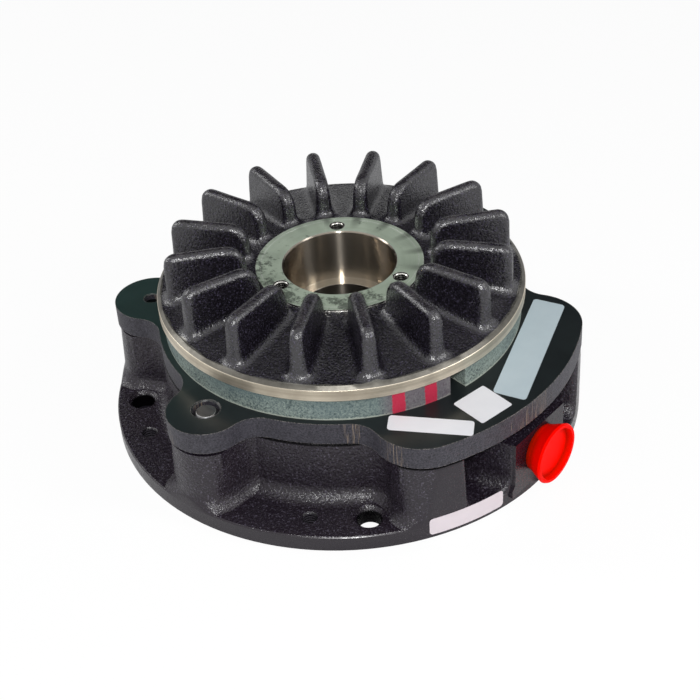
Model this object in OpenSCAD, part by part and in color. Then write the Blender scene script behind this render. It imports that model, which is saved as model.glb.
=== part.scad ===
// Air-operated disc tension brake. A finned disc turns with the machine's shaft.
// A fixed cast housing holds a ring piston, which lifts a lobed carrier plate and
// presses its friction segments against the disc. Springs pull the plate back.
// Origin: centre of the mounting face. +Z: along the shaft, towards the finned disc.
// +X: the side that the air inlet faces.

/* [Mounting flange] */
// How far the flange stands out beyond the drum
flange_ledge = 16.85; // [16:0.05:20]
// Thickness of the mounting flange
flange_t = 5.5; // [4.5:0.1:7.5]
// Small bevel on the flange's rim and on the drum's top edge
rim_bevel = 0.4; // [0.2:0.1:0.8]
// Distance from the flange's rim to the centres of its holes
mount_inset = 8.175; // [7:0.025:9]
// Bore of each mounting hole
mount_hole_d = 7.1; // [6.6:0.1:8.5]
// Width of the countersink at the mouth of each mounting hole
mount_sink_d = 9.5; // [9:0.1:12]
// Core diameter of each tapped hole in the flange
flange_tap_d = 4.2; // [3.3:0.1:5]

/* [Drum and posts] */
// How far the drum and the carrier plate stand out beyond the disc
drum_margin = 0.85; // [0.5:0.05:2]
// Height of the drum's top rim above the mounting face
drum_h = 26.3; // [25:0.1:30]
// Radius of the hollow curve where the drum meets the flange
drum_foot_r = 5; // [3:0.5:6]
// Radial room between the hub and the bores of the plate and the housing
hub_room = 3.5; // [2.5:0.1:5]
// Distance from the drum's wall to the posts' centres
post_offset = 4.5; // [3.5:0.1:5]
// Diameter of the round front of the four outer posts
post_d = 22.4; // [21:0.1:23]
// Width of the four outer posts between their flat sides
post_w = 19.8; // [17:0.1:20]
// Width of the two posts beside the inlet
inlet_post_w = 18.6; // [16:0.1:20]
// How far the posts beside the inlet lie inside the carrier plate's edge
inlet_post_inset = 0.3; // [0.2:0.05:1]
// Radius of the corners between a post's front and its sides
post_corner_r = 1.5; // [0.5:0.1:2.5]
// Radius of the hollow curve where a post meets the drum
post_blend_r = 6; // [4:0.5:8]
// How far the four outer posts stop short of the drum's rim
post_drop = 1.3; // [0.5:0.1:2.5]

/* [Air inlet] */
// Width of the inlet boss across its machined face
inlet_w = 24.6; // [22:0.2:27]
// Height of the inlet boss above the mounting face
inlet_h = 22; // [20:0.5:23]
// Extra width of the boss on each side where it meets the drum
inlet_flare = 2.5; // [0:0.5:4]
// Size of the sloping foot of the boss on the flange
inlet_foot = 1.6; // [0.5:0.1:2.5]
// How far the boss face lies inside the flange's rim
inlet_inset = 0.15; // [0.1:0.05:0.5]
// Height of the port's axis above the mounting face
port_z = 13.6; // [13:0.1:14.4]
// Bore of the port
port_d = 10.2; // [9:0.1:11.4]
// Depth of the port from the boss face
port_depth = 12; // [10:0.5:14]
// Diameter of the passage from the port to the cylinder
passage_d = 3.6; // [3:0.1:4]

/* [Air cylinder and piston] */
// Thickness of the wall between the cylinder and the drum's outside
cyl_outer_wall = 8; // [7:0.1:10]
// Thickness of the wall between the cylinder and the housing's bore
cyl_inner_wall = 5; // [4:0.1:8]
// Thickness of the housing under the cylinder
cyl_floor_t = 11.5; // [10:0.1:12]
// Radial clearance between the piston and the cylinder walls
piston_clear = 0.08; // [0.04:0.01:0.1]
// Air space under the piston when the brake is released
piston_lift = 1.5; // [1:0.1:2]
// Gap between the piston and the plate when the brake is released
piston_touch = 0.05; // [0.03:0.01:0.1]
// Bevel on the piston's lower edges
piston_bevel = 1.2; // [0.5:0.1:2]
// Thickness of the round cord of each seal ring
seal_cord = 2.9; // [2.4:0.1:3.2]
// Height of the seal grooves above the piston's underside
seal_level = 6.5; // [5:0.1:8]

/* [Carrier plate] */
// Thickness of the lobed carrier plate
plate_t = 7.2; // [6:0.1:9]
// Gap between the plate and the drum's rim when the brake is released
plate_seat_gap = 0.1; // [0.05:0.05:0.3]
// Diameter of the round end of each of the four small lobes
lobe_d = 23.6; // [22:0.1:24]
// Radius of the hollow curve beside each lobe
lobe_blend_r = 9; // [6:0.5:10]
// How far the wide lobe above the air inlet reaches beyond the flange
wide_overhang = 0.15; // [0:0.05:1]
// How much the plate's bore is wider than the housing's, on the radius
plate_bore_step = 0.5; // [0.2:0.1:1]
// Thickness left over the blind holes of the wide lobe
blind_cover_t = 1.6; // [1:0.1:3]
// Corner radius of the wide lobe
wide_corner_r = 15.2; // [13:0.1:16]
// Angle from the inlet to the centre of each corner of the wide lobe
wide_half_angle = 27.9; // [26:0.1:30]

/* [Guide pins] */
// Diameter of the guide pins
pin_d = 7.94; // [6:0.01:9]
// Radial clearance between a pin and its hole in the plate
pin_fit = 0.05; // [0.02:0.01:0.1]
// How far a pin's end lies below the plate's top face
pin_sink = 0.8; // [0.4:0.1:2]
// Bevel on a pin's ends
pin_bevel = 1.1; // [0.5:0.1:1.5]
// How deep a pin is pressed into its post
pin_hold = 19; // [15:0.5:20]

/* [Return screws and springs] */
// Thread diameter of the return screws
screw_d = 4.8; // [4:0.1:5]
// Diameter of a return screw's head
screw_head_d = 8.5; // [7.5:0.1:9]
// Height of a return screw's head
screw_head_h = 5; // [4:0.1:5.5]
// Width across the flats of the head's socket
screw_socket = 4; // [3:0.1:5]
// How far a head lies inside the mounting face
screw_recess = 1.5; // [1:0.1:3]
// How far a screw's end lies below the plate's top face
screw_sink = 2; // [1:0.1:4]
// Bore that a screw passes through above its spring
screw_way_d = 6; // [5.5:0.1:7]
// Diameter of the spring pocket bored up into a post
pocket_d = 13; // [12.4:0.1:14]
// Depth of the spring pocket from the mounting face
pocket_depth = 17; // [16:0.1:18]
// Thickness of the washer under a spring
washer_t = 1; // [0.8:0.1:1.5]
// Radial clearance between a washer and its pocket
washer_clear = 0.35; // [0.3:0.05:0.5]
// Wire diameter of a return spring
spring_wire = 1.1; // [0.8:0.1:1.3]
// Mean diameter of a return spring's coil
spring_coil_d = 8.8; // [8.2:0.1:9.2]
// Number of turns in a return spring
spring_turns = 5; // [4:1:6]

/* [Friction facing] */
// Distance from the disc's edge to the outside of the friction segments
facing_inset = 1.15; // [0.5:0.05:3]
// Width of the friction segments, from their outside to their inside
facing_w = 20; // [18:0.5:22]
// Thickness of the friction segments
facing_t = 7; // [5:0.1:9]
// Angle of the gap between two segments
facing_gap = 5.8; // [3:0.1:10]
// Angle from the inlet to the first gap
facing_phase = -13.3; // [-20:0.1:-8]
// Gap between the facing and the disc when the brake is released
release_gap = 0.5; // [0.3:0.05:1]
// Thread diameter of the facing screws
facing_screw_d = 4; // [3:0.1:5]
// Diameter of a facing screw's head
facing_head_d = 8; // [6:0.1:9]
// Height of a facing screw's head
facing_head_h = 2.4; // [1.5:0.1:3]
// How far a facing screw's head lies below the friction surface
facing_head_sink = 3; // [2:0.1:4]

/* [Friction disc] */
// Outside diameter of the disc
disc_d = 114.3; // [113.5:0.1:120]
// Height of the turned band at the disc's rim
band_h = 3.8; // [3:0.1:6]
// Bevel above the turned band
band_bevel = 1.15; // [0.5:0.05:2]
// How far the disc's friction face reaches inwards beyond the segments
face_margin = 1; // [0.5:0.1:2]
// Depth of the relief between the friction face and the hub
relief_depth = 1.4; // [0.5:0.1:2]
// Height of the floor between the fins, from the rim's bevel to the hub
floor_rise = 4.4; // [3:0.1:6]
// Distance from the bushing screws' bolt circle to the edge of the machined hub face
hub_face_rim = 5.07; // [4:0.01:6]
// Height of the machined hub face above the floor
hub_step = 0.6; // [0.3:0.1:1.5]
// Distance from the bushing screws' bolt circle to the hub's outside, below the disc
hub_rim = 3.47; // [3:0.01:5]
// Mouth diameter of the tapered bushing seat
seat_d = 34.92; // [34.5:0.01:35.5]
// Depth of the tapered bushing seat
seat_depth = 17.3; // [14:0.1:18]
// Width of the ledge at the bottom of the seat, round the shaft bore
ledge_w = 3.52; // [2:0.01:5]
// Thickness of the web under the seat
web_t = 4; // [3:0.1:5]
// Distance from the seat's mouth to the bolt circle of the bushing screws
tap_offset = 3.57; // [3.3:0.01:4.5]
// Core diameter of each tapped hole for a bushing screw
hub_tap_d = 3.9; // [3:0.1:4.5]
// Depth of each tapped hole for a bushing screw
hub_tap_depth = 14; // [8:0.5:15]
// Angle from the inlet to the first tapped hole in the rest position
hub_tap_phase = 12; // [8:0.5:15]

/* [Cooling fins] */
// Number of cooling fins
fin_count = 16; // [12:1:18]
// Height of the fins above the rim's bevel
fin_h = 15.8; // [12:0.1:18]
// Thickness of a fin at its top
fin_t = 4.4; // [3.6:0.1:5]
// Extra thickness of a fin at the rim's level
fin_draft = 1.4; // [0:0.1:2]
// Distance from the disc's edge to the fins' outer ends
fin_inset = 3.2; // [2.5:0.1:6]
// Distance from the hub face's edge to the fins' inner feet
fin_hub_gap = 1.8; // [1:0.1:4]
// How far a fin's inner end leans outwards
fin_lean = 1.3; // [0:0.1:3]
// Corner radius at a fin's outer top
fin_outer_r = 3.5; // [2.5:0.1:5]
// Corner radius at a fin's inner top
fin_inner_r = 5; // [3:0.1:7]
// Rounding of a fin's edges
fin_edge_r = 1.6; // [1:0.1:1.7]
// Angle from the inlet to the first fin in the rest position
fin_phase = 4.25; // [0:0.25:8]

/* [Port plug] */
// Diameter of the plug's outer rim
plug_rim_d = 19.1; // [17:0.1:22]
// Diameter of the plug where it meets the boss
plug_neck_d = 14.6; // [13:0.1:16]
// How far the plug stands out from the boss
plug_out = 6.2; // [5:0.1:8]
// Thickness of the plug's rim round its hollow face
plug_wall = 1.3; // [1:0.1:2]
// Depth of the plug's hollow face
plug_hollow = 1.8; // [1:0.1:3]
// Radial clearance between the plug's stem and the port
plug_fit = 0.1; // [0.05:0.05:0.3]
// Length of the plug's stem inside the port
stem_len = 9; // [6:0.5:9.5]

/* [Hidden] */
$fn = 96;

// Overshoot of a cut past the face that it opens
cut = 1;
// Largest turn between two points of a rounded outline
arc_step = 5;

// Angles from the inlet, one for each pin, screw, small lobe and flange hole
pin_angles = [-90, 30, 150];
screw_angles = [-150, -30, 90];
small_lobe_angles = [90, 150, 210, 270];
inlet_post_angle = 30;
mount_angles = [-135, -45, 45, 135];
flange_tap_angles = [-120, -60, 60, 120];
segment_count = 3;
screws_per_segment = 3;

// The wide lobe's pin and screw sit in blind holes, so that its top is unbroken
blind_end_gap = 0.4;
function is_blind(a) = abs(a) < small_lobe_angles[0] - 45;

// Levels above the mounting face, from the drum's rim up
plate_z = drum_h + plate_seat_gap;
plate_top_z = plate_z + plate_t;
facing_top_z = plate_top_z + facing_t;
disc_z = facing_top_z + release_gap;
band_top_z = disc_z + band_h;
floor_rim_z = band_top_z + band_bevel;
floor_hub_z = floor_rim_z + floor_rise;
hub_face_z = floor_hub_z + hub_step;
seat_floor_z = hub_face_z - seat_depth;
hub_end_z = seat_floor_z - web_t;
fin_top_z = floor_rim_z + fin_h;

// Levels of the inner pieces
piston_z = cyl_floor_t + piston_lift;
piston_top_z = plate_z - piston_touch;
seal_z = piston_z + seal_level;
pin_top_z = plate_top_z - pin_sink;
pin_foot_z = drum_h - post_drop - pin_hold;
head_top_z = screw_recess + screw_head_h;
spring_z = head_top_z + washer_t;
spring_h = pocket_depth - spring_z;

// How much further a pin's top stands than the others'
function pin_lift(a) = is_blind(a) ? pin_sink - blind_cover_t - blind_end_gap : 0;

// Radii of the disc and its hub. The seat narrows by one part in sixteen on its
// diameter.
disc_r = disc_d / 2;
seat_r = seat_d / 2;
seat_floor_r = seat_r - seat_depth / 32;
shaft_bore_r = seat_floor_r - ledge_w;
hub_tap_r = seat_r + tap_offset;
hub_face_r = hub_tap_r + hub_face_rim;
hub_r = hub_tap_r + hub_rim;
bore_r = hub_r + hub_room;

// Radii of the friction segments and the face that they press on
facing_r = disc_r - facing_inset;
facing_bore_r = facing_r - facing_w;
face_bore_r = facing_bore_r - face_margin;
facing_screw_r = (facing_r + facing_bore_r) / 2;
facing_arc = 360 / segment_count - facing_gap;

// Radii of the housing, the carrier plate and the cylinder
drum_r = disc_r + drum_margin;
flange_r = drum_r + flange_ledge;
mount_r = flange_r - mount_inset;
post_ring_r = drum_r + post_offset;
wide_lobe_r = flange_r + wide_overhang;
inlet_face_x = flange_r - inlet_inset;
cyl_outer_r = drum_r - cyl_outer_wall;
cyl_inner_r = bore_r + cyl_inner_wall;
seal_groove_w = seal_cord + 0.6;
seal_groove_depth = seal_cord + 0.1;
// Blends end this far inside the drum, so that they cross its wall
blend_sink = 0.2;
post_base_r = drum_r - blend_sink;
post_root_r = (cyl_outer_r + drum_r) / 2;
// Clearance of threads and pressed pins, whose pieces don't move
thread_gap = 0.03;

function polar(r, a) = [r * cos(a), r * sin(a)];

// Points along an arc from a0 up to, but without, a1
function arc(centre, r, a0, a1) =
    let (n = max(2, ceil(abs(a1 - a0) / arc_step)))
    [for (i = [0 : n - 1]) centre + polar(r, a0 + (a1 - a0) * i / n)];

// A lobe of radius r, centred c from the axis, runs into a round body of radius
// base by a hollow blend of radius f. First the angle at the axis between the
// lobe's centre and the blend's, then the angle of the blend's own arc.
function blend_turn(base, c, r, f) =
    acos((pow(base + f, 2) + c * c - pow(r + f, 2)) / (2 * (base + f) * c));
function blend_bend(base, c, r, f) =
    acos((pow(base + f, 2) + pow(r + f, 2) - c * c) / (2 * (base + f) * (r + f)));

// Outline of one lobe, from blend to blend, anticlockwise. The lobe is centred on
// angle a; a lobe wider than its round ends has its ends' centres at a - s and a + s.
function lobe(base, a, s, c, r, f) =
    let (t = blend_turn(base, c, r, f), b = blend_bend(base, c, r, f))
    concat(
        arc(polar(base + f, a - s - t), f, a - s - t + 180, a - s - t + 180 - b),
        arc(polar(c, a - s), r, a - s - t - b, a - s),
        s > 0 ? arc([0, 0], c + r, a - s, a + s) : [],
        arc(polar(c, a + s), r, a + s, a + s + t + b),
        arc(polar(base + f, a + s + t), f, a + s + t + 180 + b, a + s + t + 180));

// Angle from a lobe's middle to where its blend leaves the round body
function lobe_reach(base, s, c, r, f) = s + blend_turn(base, c, r, f);

wide_centre_r = wide_lobe_r - wide_corner_r;
wide_reach = lobe_reach(drum_r, wide_half_angle, wide_centre_r, wide_corner_r, lobe_blend_r);
small_reach = lobe_reach(drum_r, 0, post_ring_r, lobe_d / 2, lobe_blend_r);

// The carrier plate's outline: the wide lobe, then each small one, joined by
// stretches of the drum's circle
function plate_outline() = concat(
    lobe(drum_r, 0, wide_half_angle, wide_centre_r, wide_corner_r, lobe_blend_r),
    arc([0, 0], drum_r, wide_reach, small_lobe_angles[0] - small_reach),
    [for (i = [0 : len(small_lobe_angles) - 1])
        let (a = small_lobe_angles[i],
            last = i == len(small_lobe_angles) - 1,
            next = last ? 360 - wide_reach : small_lobe_angles[i + 1] - small_reach)
        each concat(lobe(drum_r, a, 0, post_ring_r, lobe_d / 2, lobe_blend_r),
            arc([0, 0], drum_r, a + small_reach, next))]);

// Places its children on a circle of radius r at each angle in the list
module around(r, angles) {
    for (a = angles) {
        rotate([0, 0, a]) translate([r, 0, 0]) children();
    }
}

// A ring between two radii and two levels
module ring(r_in, r_out, z0, z1) {
    rotate_extrude() translate([r_in, z0]) square([r_out - r_in, z1 - z0]);
}

// The flange, the drum with its ring-shaped cylinder, and the bore, as one turned form
module drum_form() {
    fillet_centre = [drum_r + drum_foot_r, flange_t + drum_foot_r];
    rotate_extrude($fn = 180) polygon(concat(
        [[bore_r, 0],
            [flange_r - rim_bevel, 0],
            [flange_r, rim_bevel],
            [flange_r, flange_t - rim_bevel],
            [flange_r - rim_bevel, flange_t]],
        arc(fillet_centre, drum_foot_r, 270, 180),
        [[drum_r, flange_t + drum_foot_r],
            [drum_r, drum_h - rim_bevel],
            [drum_r - rim_bevel, drum_h],
            [cyl_outer_r, drum_h],
            [cyl_outer_r, cyl_floor_t],
            [cyl_inner_r, cyl_floor_t],
            [cyl_inner_r, drum_h],
            [bore_r, drum_h]]));
}

// The posts' outlines lie along +X. A side at the distance h from the middle line
// runs into the drum by a hollow blend, whose centre is at this angle.
function side_turn(h) = asin((h + post_blend_r) / (post_base_r + post_blend_r));

// The side on the right, from the drum outwards
function post_side(h) =
    let (t = side_turn(h), c = polar(post_base_r + post_blend_r, -t))
    concat([polar(post_root_r, -t)], arc(c, post_blend_r, 180 - t, 90), [c + [0, post_blend_r]]);

// Angle at the centre of a round front of radius r to a corner. The side lies
// at the distance h from that centre.
function corner_turn(r, h) = asin((h - post_corner_r) / (r - post_corner_r));
function corner_centre(centre, r, h, way) =
    centre + polar(r - post_corner_r, way * corner_turn(r, h));

// The front of an outer post, anticlockwise, with its two corners
function round_front(r, h) =
    let (c = [post_ring_r, 0], t = corner_turn(r, h))
    concat(
        arc(corner_centre(c, r, h, -1), post_corner_r, -90, -t),
        arc(c, r, -t, t),
        arc(corner_centre(c, r, h, 1), post_corner_r, t, 90),
        [corner_centre(c, r, h, 1) + [0, post_corner_r]]);

// The front of the post to the right of the inlet follows the wide lobe of the plate
function lobe_front(h) =
    let (lean = inlet_post_angle - wide_half_angle,
        c = polar(wide_centre_r, lean),
        r = wide_corner_r - inlet_post_inset,
        rim = wide_centre_r + r,
        near = corner_turn(r, h + c[1]),
        far = corner_turn(rim, h))
    concat(
        arc(corner_centre(c, r, h + c[1], -1), post_corner_r, -90, -near),
        arc(c, r, -near, lean),
        arc([0, 0], rim, lean, far),
        arc(corner_centre([0, 0], rim, h, 1), post_corner_r, far, 90),
        [corner_centre([0, 0], rim, h, 1) + [0, post_corner_r]]);

function mirrored(points) = [for (i = [len(points) - 1 : -1 : 0]) [points[i][0], -points[i][1]]];

// A post with its blends into the drum, rooted in the flange
module post(front, h, top_z) {
    translate([0, 0, flange_t / 2]) linear_extrude(top_z - flange_t / 2)
        polygon(concat(post_side(h), front, mirrored(post_side(h))));
}

// The boss of the air inlet, wider where it meets the drum, with a sloping foot
module inlet_boss() {
    root_x = (cyl_outer_r + drum_r) / 2;
    root_w = inlet_w / 2 + inlet_flare;
    section = inlet_w / 2 + inlet_foot;
    translate([root_x, 0, 0]) rotate([90, 0, 90]) linear_extrude(flange_r + cut - root_x) polygon([
        [-section, flange_t / 2], [section, flange_t / 2], [section, flange_t],
        [inlet_w / 2, flange_t + inlet_foot], [-inlet_w / 2, flange_t + inlet_foot],
        [-section, flange_t]]);
    translate([0, 0, flange_t / 2]) linear_extrude(inlet_h - flange_t / 2) polygon([
        [root_x, -root_w], [drum_r + drum_foot_r, -root_w], [flange_r + cut, -inlet_w / 2],
        [flange_r + cut, inlet_w / 2], [drum_r + drum_foot_r, root_w], [root_x, root_w]]);
}

// A drilled hole with a countersunk mouth at its top
module sunk_hole(d, mouth_d, z0, z1) {
    bevel = (mouth_d - d) / 2;
    translate([0, 0, z0]) cylinder(d = d, h = z1 - z0 + cut);
    translate([0, 0, z1 - bevel]) cylinder(d1 = d, d2 = mouth_d + 2 * cut, h = bevel + cut);
}

// Cuts the boss face flat, drills the port and drills on into the cylinder
module inlet_cuts() {
    translate([inlet_face_x, -inlet_w, -cut]) cube([2 * cut + inlet_inset, 2 * inlet_w, inlet_h + 2 * cut]);
    translate([inlet_face_x - port_depth, 0, port_z]) rotate([0, 90, 0])
        cylinder(d = port_d, h = port_depth + cut);
    translate([(cyl_outer_r + cyl_inner_r) / 2, 0, port_z]) rotate([0, 90, 0])
        cylinder(d = passage_d, h = inlet_face_x - port_depth / 2 - (cyl_outer_r + cyl_inner_r) / 2);
}

module housing_casting() {
    color([0.16, 0.14, 0.17])
    difference() {
        union() {
            drum_form();
            for (a = small_lobe_angles) rotate([0, 0, a])
                post(round_front(post_d / 2, post_w / 2), post_w / 2, drum_h - post_drop);
            for (side = [0, 1]) mirror([0, side, 0]) rotate([0, 0, -inlet_post_angle])
                post(lobe_front(inlet_post_w / 2), inlet_post_w / 2, drum_h - rim_bevel);
            inlet_boss();
        }
        inlet_cuts();
        around(mount_r, mount_angles) sunk_hole(mount_hole_d, mount_sink_d, -cut, flange_t);
        around(mount_r, flange_tap_angles) sunk_hole(flange_tap_d, flange_tap_d + 0.8, -cut, flange_t);
        for (a = pin_angles) around(post_ring_r, [a]) translate([0, 0, pin_foot_z + pin_lift(a) - cut])
            cylinder(d = pin_d + 2 * thread_gap, h = drum_h);
        around(post_ring_r, screw_angles) translate([0, 0, -cut])
            cylinder(d = pocket_d, h = pocket_depth + cut);
        around(post_ring_r, screw_angles) cylinder(d = screw_way_d, h = drum_h + cut);
    }
}

// Angles of the facing screws of one segment
function segment_screw_angles(i) =
    let (start = facing_phase + facing_gap / 2 + (i - 1) * 360 / segment_count)
    [for (k = [0 : screws_per_segment - 1]) start + facing_arc * (k + 0.5) / screws_per_segment];

facing_screw_foot_z = plate_z + 0.8;
pin_mouth = 0.4;
screw_mouth = 0.25;

// A hole up through the plate, bevelled at its mouth, or blind in the wide lobe
module plate_hole(a, d, bevel) {
    if (is_blind(a)) {
        translate([0, 0, plate_z - cut]) cylinder(d = d, h = plate_t - blind_cover_t + cut);
    } else {
        sunk_hole(d, d + 2 * bevel, plate_z - cut, plate_top_z);
    }
}

module carrier_plate() {
    color([0.13, 0.16, 0.15])
    difference() {
        translate([0, 0, plate_z]) linear_extrude(plate_t) polygon(plate_outline());
        translate([0, 0, plate_z - cut]) cylinder(r = bore_r + plate_bore_step, h = plate_t + 2 * cut, $fn = 128);
        for (a = pin_angles) around(post_ring_r, [a]) plate_hole(a, pin_d + 2 * pin_fit, pin_mouth);
        for (a = screw_angles) around(post_ring_r, [a]) plate_hole(a, screw_d + 2 * thread_gap, screw_mouth);
        for (i = [1 : segment_count]) around(facing_screw_r, segment_screw_angles(i))
            translate([0, 0, facing_screw_foot_z - thread_gap])
                cylinder(d = facing_screw_d + 2 * thread_gap, h = plate_t, $fn = 32);
    }
}

// The ring piston, with a groove for a seal in each side
module piston() {
    r_out = cyl_outer_r - piston_clear;
    r_in = cyl_inner_r + piston_clear;
    g0 = seal_z - seal_groove_w / 2;
    g1 = seal_z + seal_groove_w / 2;
    color([0.62, 0.63, 0.66])
    rotate_extrude($fn = 180) polygon([
        [r_in + piston_bevel, piston_z], [r_out - piston_bevel, piston_z],
        [r_out, piston_z + piston_bevel], [r_out, g0],
        [r_out - seal_groove_depth, g0], [r_out - seal_groove_depth, g1],
        [r_out, g1], [r_out, piston_top_z], [r_in, piston_top_z],
        [r_in, g1], [r_in + seal_groove_depth, g1],
        [r_in + seal_groove_depth, g0], [r_in, g0], [r_in, piston_z + piston_bevel]]);
}

// A round-section rubber ring of mean radius r
module seal_ring(r) {
    color([0.07, 0.07, 0.07])
    translate([0, 0, seal_z]) rotate_extrude($fn = 180) translate([r, 0]) circle(d = seal_cord, $fn = 32);
}

module piston_outer_seal() {
    seal_ring(cyl_outer_r - piston_clear - seal_cord / 2);
}

module piston_inner_seal() {
    seal_ring(cyl_inner_r + piston_clear + seal_cord / 2);
}

// One friction segment, with sunk holes for its screws
module facing_segment(i) {
    start = facing_phase + facing_gap / 2 + (i - 1) * 360 / segment_count;
    head_floor_z = facing_top_z - facing_head_sink - facing_head_h;
    color([0.5, 0.55, 0.52])
    difference() {
        translate([0, 0, plate_top_z]) rotate([0, 0, start]) rotate_extrude(angle = facing_arc, $fn = 180)
            translate([facing_bore_r, 0]) square([facing_w, facing_t]);
        around(facing_screw_r, segment_screw_angles(i)) {
            translate([0, 0, plate_top_z - cut])
                cylinder(d = facing_screw_d + 0.4, h = facing_t + 2 * cut, $fn = 32);
            translate([0, 0, head_floor_z]) cylinder(d = facing_head_d + 0.6, h = facing_t, $fn = 48);
        }
    }
}

// The screws that hold one segment, with slotted cheese heads
module facing_screws(i) {
    head_z = facing_top_z - facing_head_sink - facing_head_h;
    slot_w = facing_screw_d / 4;
    slot_depth = facing_head_h / 2;
    color([0.72, 0.6, 0.34])
    around(facing_screw_r, segment_screw_angles(i)) difference() {
        union() {
            translate([0, 0, facing_screw_foot_z])
                cylinder(d = facing_screw_d, h = head_z - facing_screw_foot_z + slot_depth, $fn = 32);
            translate([0, 0, head_z]) cylinder(d = facing_head_d, h = facing_head_h, $fn = 48);
        }
        translate([-facing_head_d, -slot_w / 2, head_z + facing_head_h - slot_depth])
            cube([2 * facing_head_d, slot_w, facing_head_h]);
    }
}

// A hardened pin, pressed into its post, that the plate slides on
module guide_pin(i) {
    r = pin_d / 2;
    color([0.75, 0.74, 0.72])
    around(post_ring_r, [pin_angles[i - 1]]) translate([0, 0, pin_lift(pin_angles[i - 1])])
        rotate_extrude() polygon([
            [0, pin_foot_z], [r - pin_bevel, pin_foot_z], [r, pin_foot_z + pin_bevel],
            [r, pin_top_z - pin_bevel], [r - pin_bevel, pin_top_z], [0, pin_top_z]]);
}

// A socket-head screw, driven up through a post into the plate
module return_screw(i) {
    end_z = plate_top_z - max(screw_sink, blind_cover_t + blind_end_gap);
    color([0.24, 0.24, 0.26])
    around(post_ring_r, [screw_angles[i - 1]]) difference() {
        union() {
            translate([0, 0, screw_recess]) cylinder(d = screw_head_d, h = screw_head_h);
            translate([0, 0, head_top_z - cut]) cylinder(d = screw_d, h = end_z - head_top_z + cut);
        }
        translate([0, 0, screw_recess - cut])
            cylinder(d = screw_socket / cos(30), h = screw_head_h / 2 + cut, $fn = 6);
    }
}

// A plain washer between a screw's head and its spring
module return_washer(i) {
    color([0.66, 0.66, 0.66])
    around(post_ring_r, [screw_angles[i - 1]])
        ring(screw_d / 2 + 0.2, pocket_d / 2 - washer_clear, head_top_z, head_top_z + washer_t);
}

spring_sides = 6;
spring_steps = 16;

// Point k of ring j along a return spring's wire
function spring_point(j, k) =
    let (turn = 360 * j / spring_steps,
        around_wire = 360 * k / spring_sides,
        climb = (spring_h - spring_wire) * j / (spring_steps * spring_turns),
        r = spring_coil_d / 2 + spring_wire / 2 * cos(around_wire))
    [r * cos(turn), r * sin(turn), spring_wire / 2 + climb + spring_wire / 2 * sin(around_wire)];

// A coil of round wire, from the washer up to the pocket's end
module return_spring(i) {
    rings = spring_steps * spring_turns;
    points = [for (j = [0 : rings]) for (k = [0 : spring_sides - 1]) spring_point(j, k)];
    walls = [for (j = [0 : rings - 1]) for (k = [0 : spring_sides - 1])
        let (a = j * spring_sides + k,
            b = j * spring_sides + (k + 1) % spring_sides)
        each [[a, b, b + spring_sides], [a, b + spring_sides, a + spring_sides]]];
    first_end = [[for (k = [0 : spring_sides - 1]) spring_sides - 1 - k]];
    last_end = [[for (k = [0 : spring_sides - 1]) rings * spring_sides + k]];
    color([0.55, 0.56, 0.58])
    around(post_ring_r, [screw_angles[i - 1]]) translate([0, 0, spring_z])
        polyhedron(points, concat(walls, first_end, last_end));
}

fin_out_r = disc_r - fin_inset;
fin_in_r = hub_face_r + fin_hub_gap;
fin_root_z = floor_rim_z - band_bevel;

// Half the fin's thickness at level z
function fin_half(z) = fin_t / 2 + fin_draft / 2 * (fin_top_z - z) / fin_h;

// One cooling fin: what its outline from the side, its section across and its
// outline from above have in common. It is thicker towards its root.
module fin() {
    foot = fin_half(fin_root_z);
    round_r = fin_edge_r + fin_draft / 2;
    inner = [fin_in_r + fin_lean + fin_inner_r, fin_top_z - fin_inner_r];
    outer = [fin_out_r - fin_outer_r, fin_top_z - fin_outer_r];
    shoulder = [fin_half(fin_top_z) - fin_edge_r, fin_top_z - fin_edge_r];
    side = concat([[fin_in_r, fin_root_z]],
        [for (a = [180, 162, 144, 126, 108, 90]) inner + polar(fin_inner_r, a)],
        [for (a = [90, 72, 54, 36, 18, 0]) outer + polar(fin_outer_r, a)],
        [[fin_out_r, fin_root_z]]);
    section = concat([[-foot, fin_root_z]],
        [for (a = [180, 150, 120, 90]) [-shoulder[0], shoulder[1]] + polar(fin_edge_r, a)],
        [for (a = [90, 60, 30, 0]) shoulder + polar(fin_edge_r, a)],
        [[foot, fin_root_z]]);
    plan = concat(
        [for (a = [0, 30, 60, 90]) [fin_out_r - round_r, foot - round_r] + polar(round_r, a)],
        [for (a = [90, 120, 150, 180]) [fin_in_r + round_r, foot - round_r] + polar(round_r, a)],
        [for (a = [180, 210, 240, 270]) [fin_in_r + round_r, round_r - foot] + polar(round_r, a)],
        [for (a = [270, 300, 330, 360]) [fin_out_r - round_r, round_r - foot] + polar(round_r, a)]);
    intersection() {
        rotate([90, 0, 0]) translate([0, 0, -foot - cut]) linear_extrude(2 * (foot + cut)) polygon(side);
        rotate([90, 0, 90]) linear_extrude(disc_r) polygon(section);
        translate([0, 0, fin_root_z - cut]) linear_extrude(fin_h + 4 * cut) polygon(plan);
    }
}

// The disc without its fins, from the hub outwards
module disc_form() {
    rotate_extrude($fn = 180) polygon([
        [face_bore_r, disc_z], [disc_r, disc_z], [disc_r, band_top_z],
        [disc_r - band_bevel, floor_rim_z], [hub_face_r, floor_hub_z],
        [hub_face_r, hub_face_z], [hub_r, hub_face_z],
        [hub_r, disc_z + relief_depth], [face_bore_r, disc_z + relief_depth]]);
}

module friction_disc() {
    color([0.2, 0.17, 0.2])
    union() {
        disc_form();
        for (i = [0 : fin_count - 1]) rotate([0, 0, fin_phase + i * 360 / fin_count]) fin();
    }
}

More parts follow.
